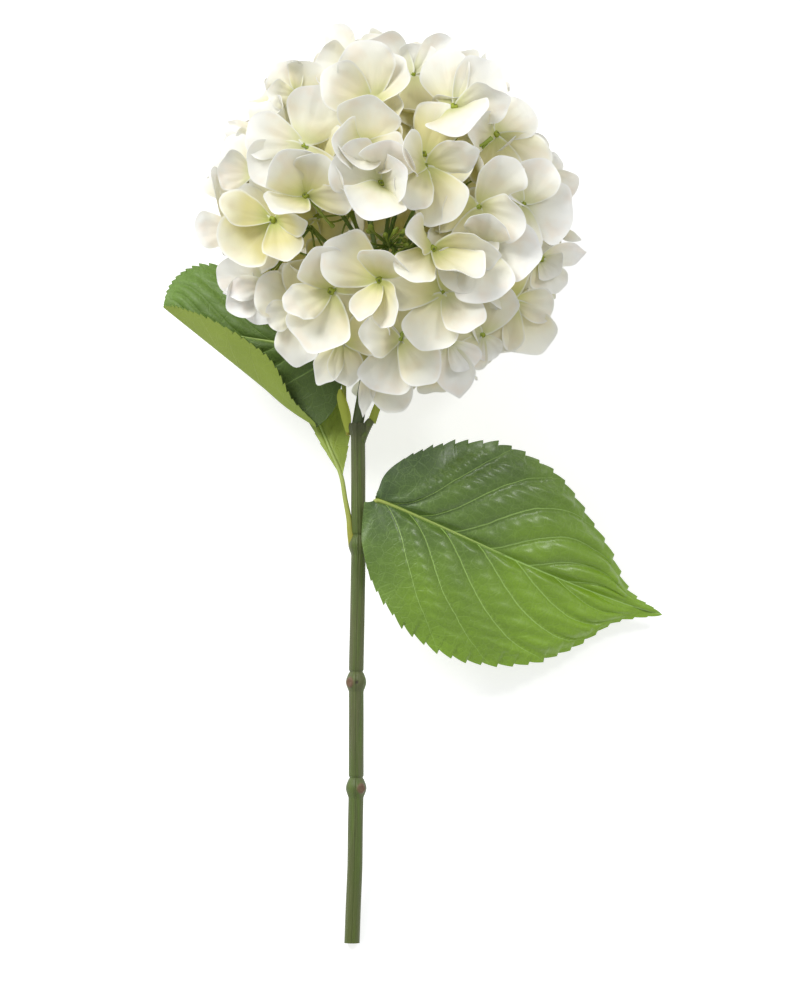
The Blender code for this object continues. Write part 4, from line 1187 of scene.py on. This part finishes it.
def add_rays(skin, draw):
    """The rays, and the places where they fork into pedicels."""
    forks = []
    for way in spread(RAY_COUNT, RAY_LOW, 1.0):
        fork = HEAD_CENTRE + way * RAY_REACH
        start = PEDUNCLE_BASE.lerp(PEDUNCLE_TOP, RAY_ROOT + RAY_ROOT_RISE * max(way.y, 0.0))
        forks.append(fork)
        bow = Vector((0, 1, 0)).cross(way).cross(way) * draw.uniform(*RAY_BOWS)
        skin.tube(bowed(start, fork, bow, 14), RAY_PROFILE, 12, (0.05, 0, 0), (0.6, 0, 0))
    return forks


def make_branches(places):
    """The peduncle, the rays that fork from it, a curved pedicel to each floret, and those that show."""
    draw = random.Random(SEED + 3)
    skin = Skin()
    path = [PEDUNCLE_BASE + Vector((0.0, rise, 0.0)) for rise in PEDUNCLE_FOOT]
    path += [PEDUNCLE_BASE.lerp(PEDUNCLE_TOP, share) for share in (0.35, 0.7, 1.0)]
    path = curve_through([tuple(p) for p in path], np.linspace(0.0, 1.0, 40))
    skin.tube(path, PEDUNCLE_PROFILE, 24, (0, 1, 0), (0.05, 0, 0))
    forks = add_rays(skin, draw)
    for place, _ in places:
        bud = place.translation
        fork = min(forks, key=lambda point: (point - bud).length)
        out = (bud - fork).normalized()
        bow = drawn_way(draw).cross(out) * PEDICEL_BOW
        path = bowed(fork - out * 0.001, bud + out * 0.0004, bow, 14)
        skin.tube(path, PEDICEL_PROFILE, 9, (0.4, 0, 0), (1.0, 0, 0))
    for route in SHOWN_PEDICELS_MM:
        path = np.array(HEAD_CENTRE) + curve_in_mm(route, 18)
        skin.tube(path, SHOWN_PROFILE, 9, (0.75, 0, 0), (1.0, 0, 0))
    foot = HEAD_CENTRE + TUFT_FOOT
    for number in range(TUFT_COUNT):
        turn = TUFT_TURN * number
        out = Vector((1.5 * math.cos(turn), math.sin(turn), 1.4)).normalized()
        tip = foot + out * draw.uniform(*TUFT_REACH)
        path = bowed(foot, tip, drawn_way(draw) * TUFT_BOW, 12)
        skin.tube(path, TUFT_PROFILE, 9, (0.3, 0, 0), (0.8 + 0.2 * math.sin(turn), 0, 0))
    skin.build("branches", [paint_branch()], ["flower_head"])


def make_head():
    frames, inner = floret_frames(), inner_frames()
    face, back = frames[:len(FACE_FLORETS)], frames[len(FACE_FLORETS):]
    finish = paint_sepal()
    make_florets("florets_face", face, FACE_SEPALS, {}, finish, SEED + 1)
    make_florets("florets_back", back, None, SHORT_SEPALS, finish, SEED + 2)
    make_florets("florets_inner", inner, None, {}, finish, SEED + 5)
    places = frames + inner
    make_eyes([(place, size * (SMALL_EYE if number in HIDDEN_EYES else 1.0))
               for number, (place, size) in enumerate(places)])
    make_branches(places)


# ---------------------------------------------------------------- table, light and camera

def make_table():
    """A wide pale table top."""
    bpy.ops.mesh.primitive_plane_add(size=TABLE_SIZE, location=(0.0, 0.0, 0.0))
    table = bpy.context.object
    table.name = "table"
    paint = Paint("table", 0.7, 0.2)
    paint.colour(paint.mix(paint.noise(2.0), *TABLE_GREYS))
    paint.shader.inputs["Emission Color"].default_value = (1, 1, 1, 1)
    paint.shader.inputs["Emission Strength"].default_value = TABLE_GLOW
    table.data.materials.append(paint.material)


def make_light():
    """An even sky and two round lamps, each aimed at a place on the flower."""
    world = bpy.data.worlds.new("studio")
    bpy.context.scene.world = world
    world.use_nodes = True
    sky = world.node_tree.nodes["Background"]
    sky.inputs["Color"].default_value = SKY_COLOUR
    sky.inputs["Strength"].default_value = SKY_STRENGTH
    for name, aim, way, size, power in LAMPS:
        lamp = bpy.data.lights.new(name, "AREA")
        lamp.shape = "DISK"
        lamp.size = size
        lamp.energy = power
        obj = link(name, lamp)
        obj.location = LYING @ aim + way
        obj.rotation_euler = (-way).to_track_quat("-Z", "Y").to_euler()


def make_camera():
    camera = bpy.data.cameras.new("camera")
    camera.sensor_width = SENSOR
    camera.lens = SENSOR * CAMERA_DISTANCE / VIEW_HEIGHT
    camera.clip_start = 0.01
    camera.clip_end = 100.0
    obj = link("camera", camera)
    obj.matrix_world = LYING @ Matrix.Translation((*VIEW_CENTRE, CAMERA_DISTANCE))
    bpy.context.scene.camera = obj


def main():
    make_camera()
    make_light()
    make_table()
    make_stem()
    make_leaves()
    make_head()
    bpy.context.scene.view_settings.view_transform = "Standard"
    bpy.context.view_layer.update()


main()
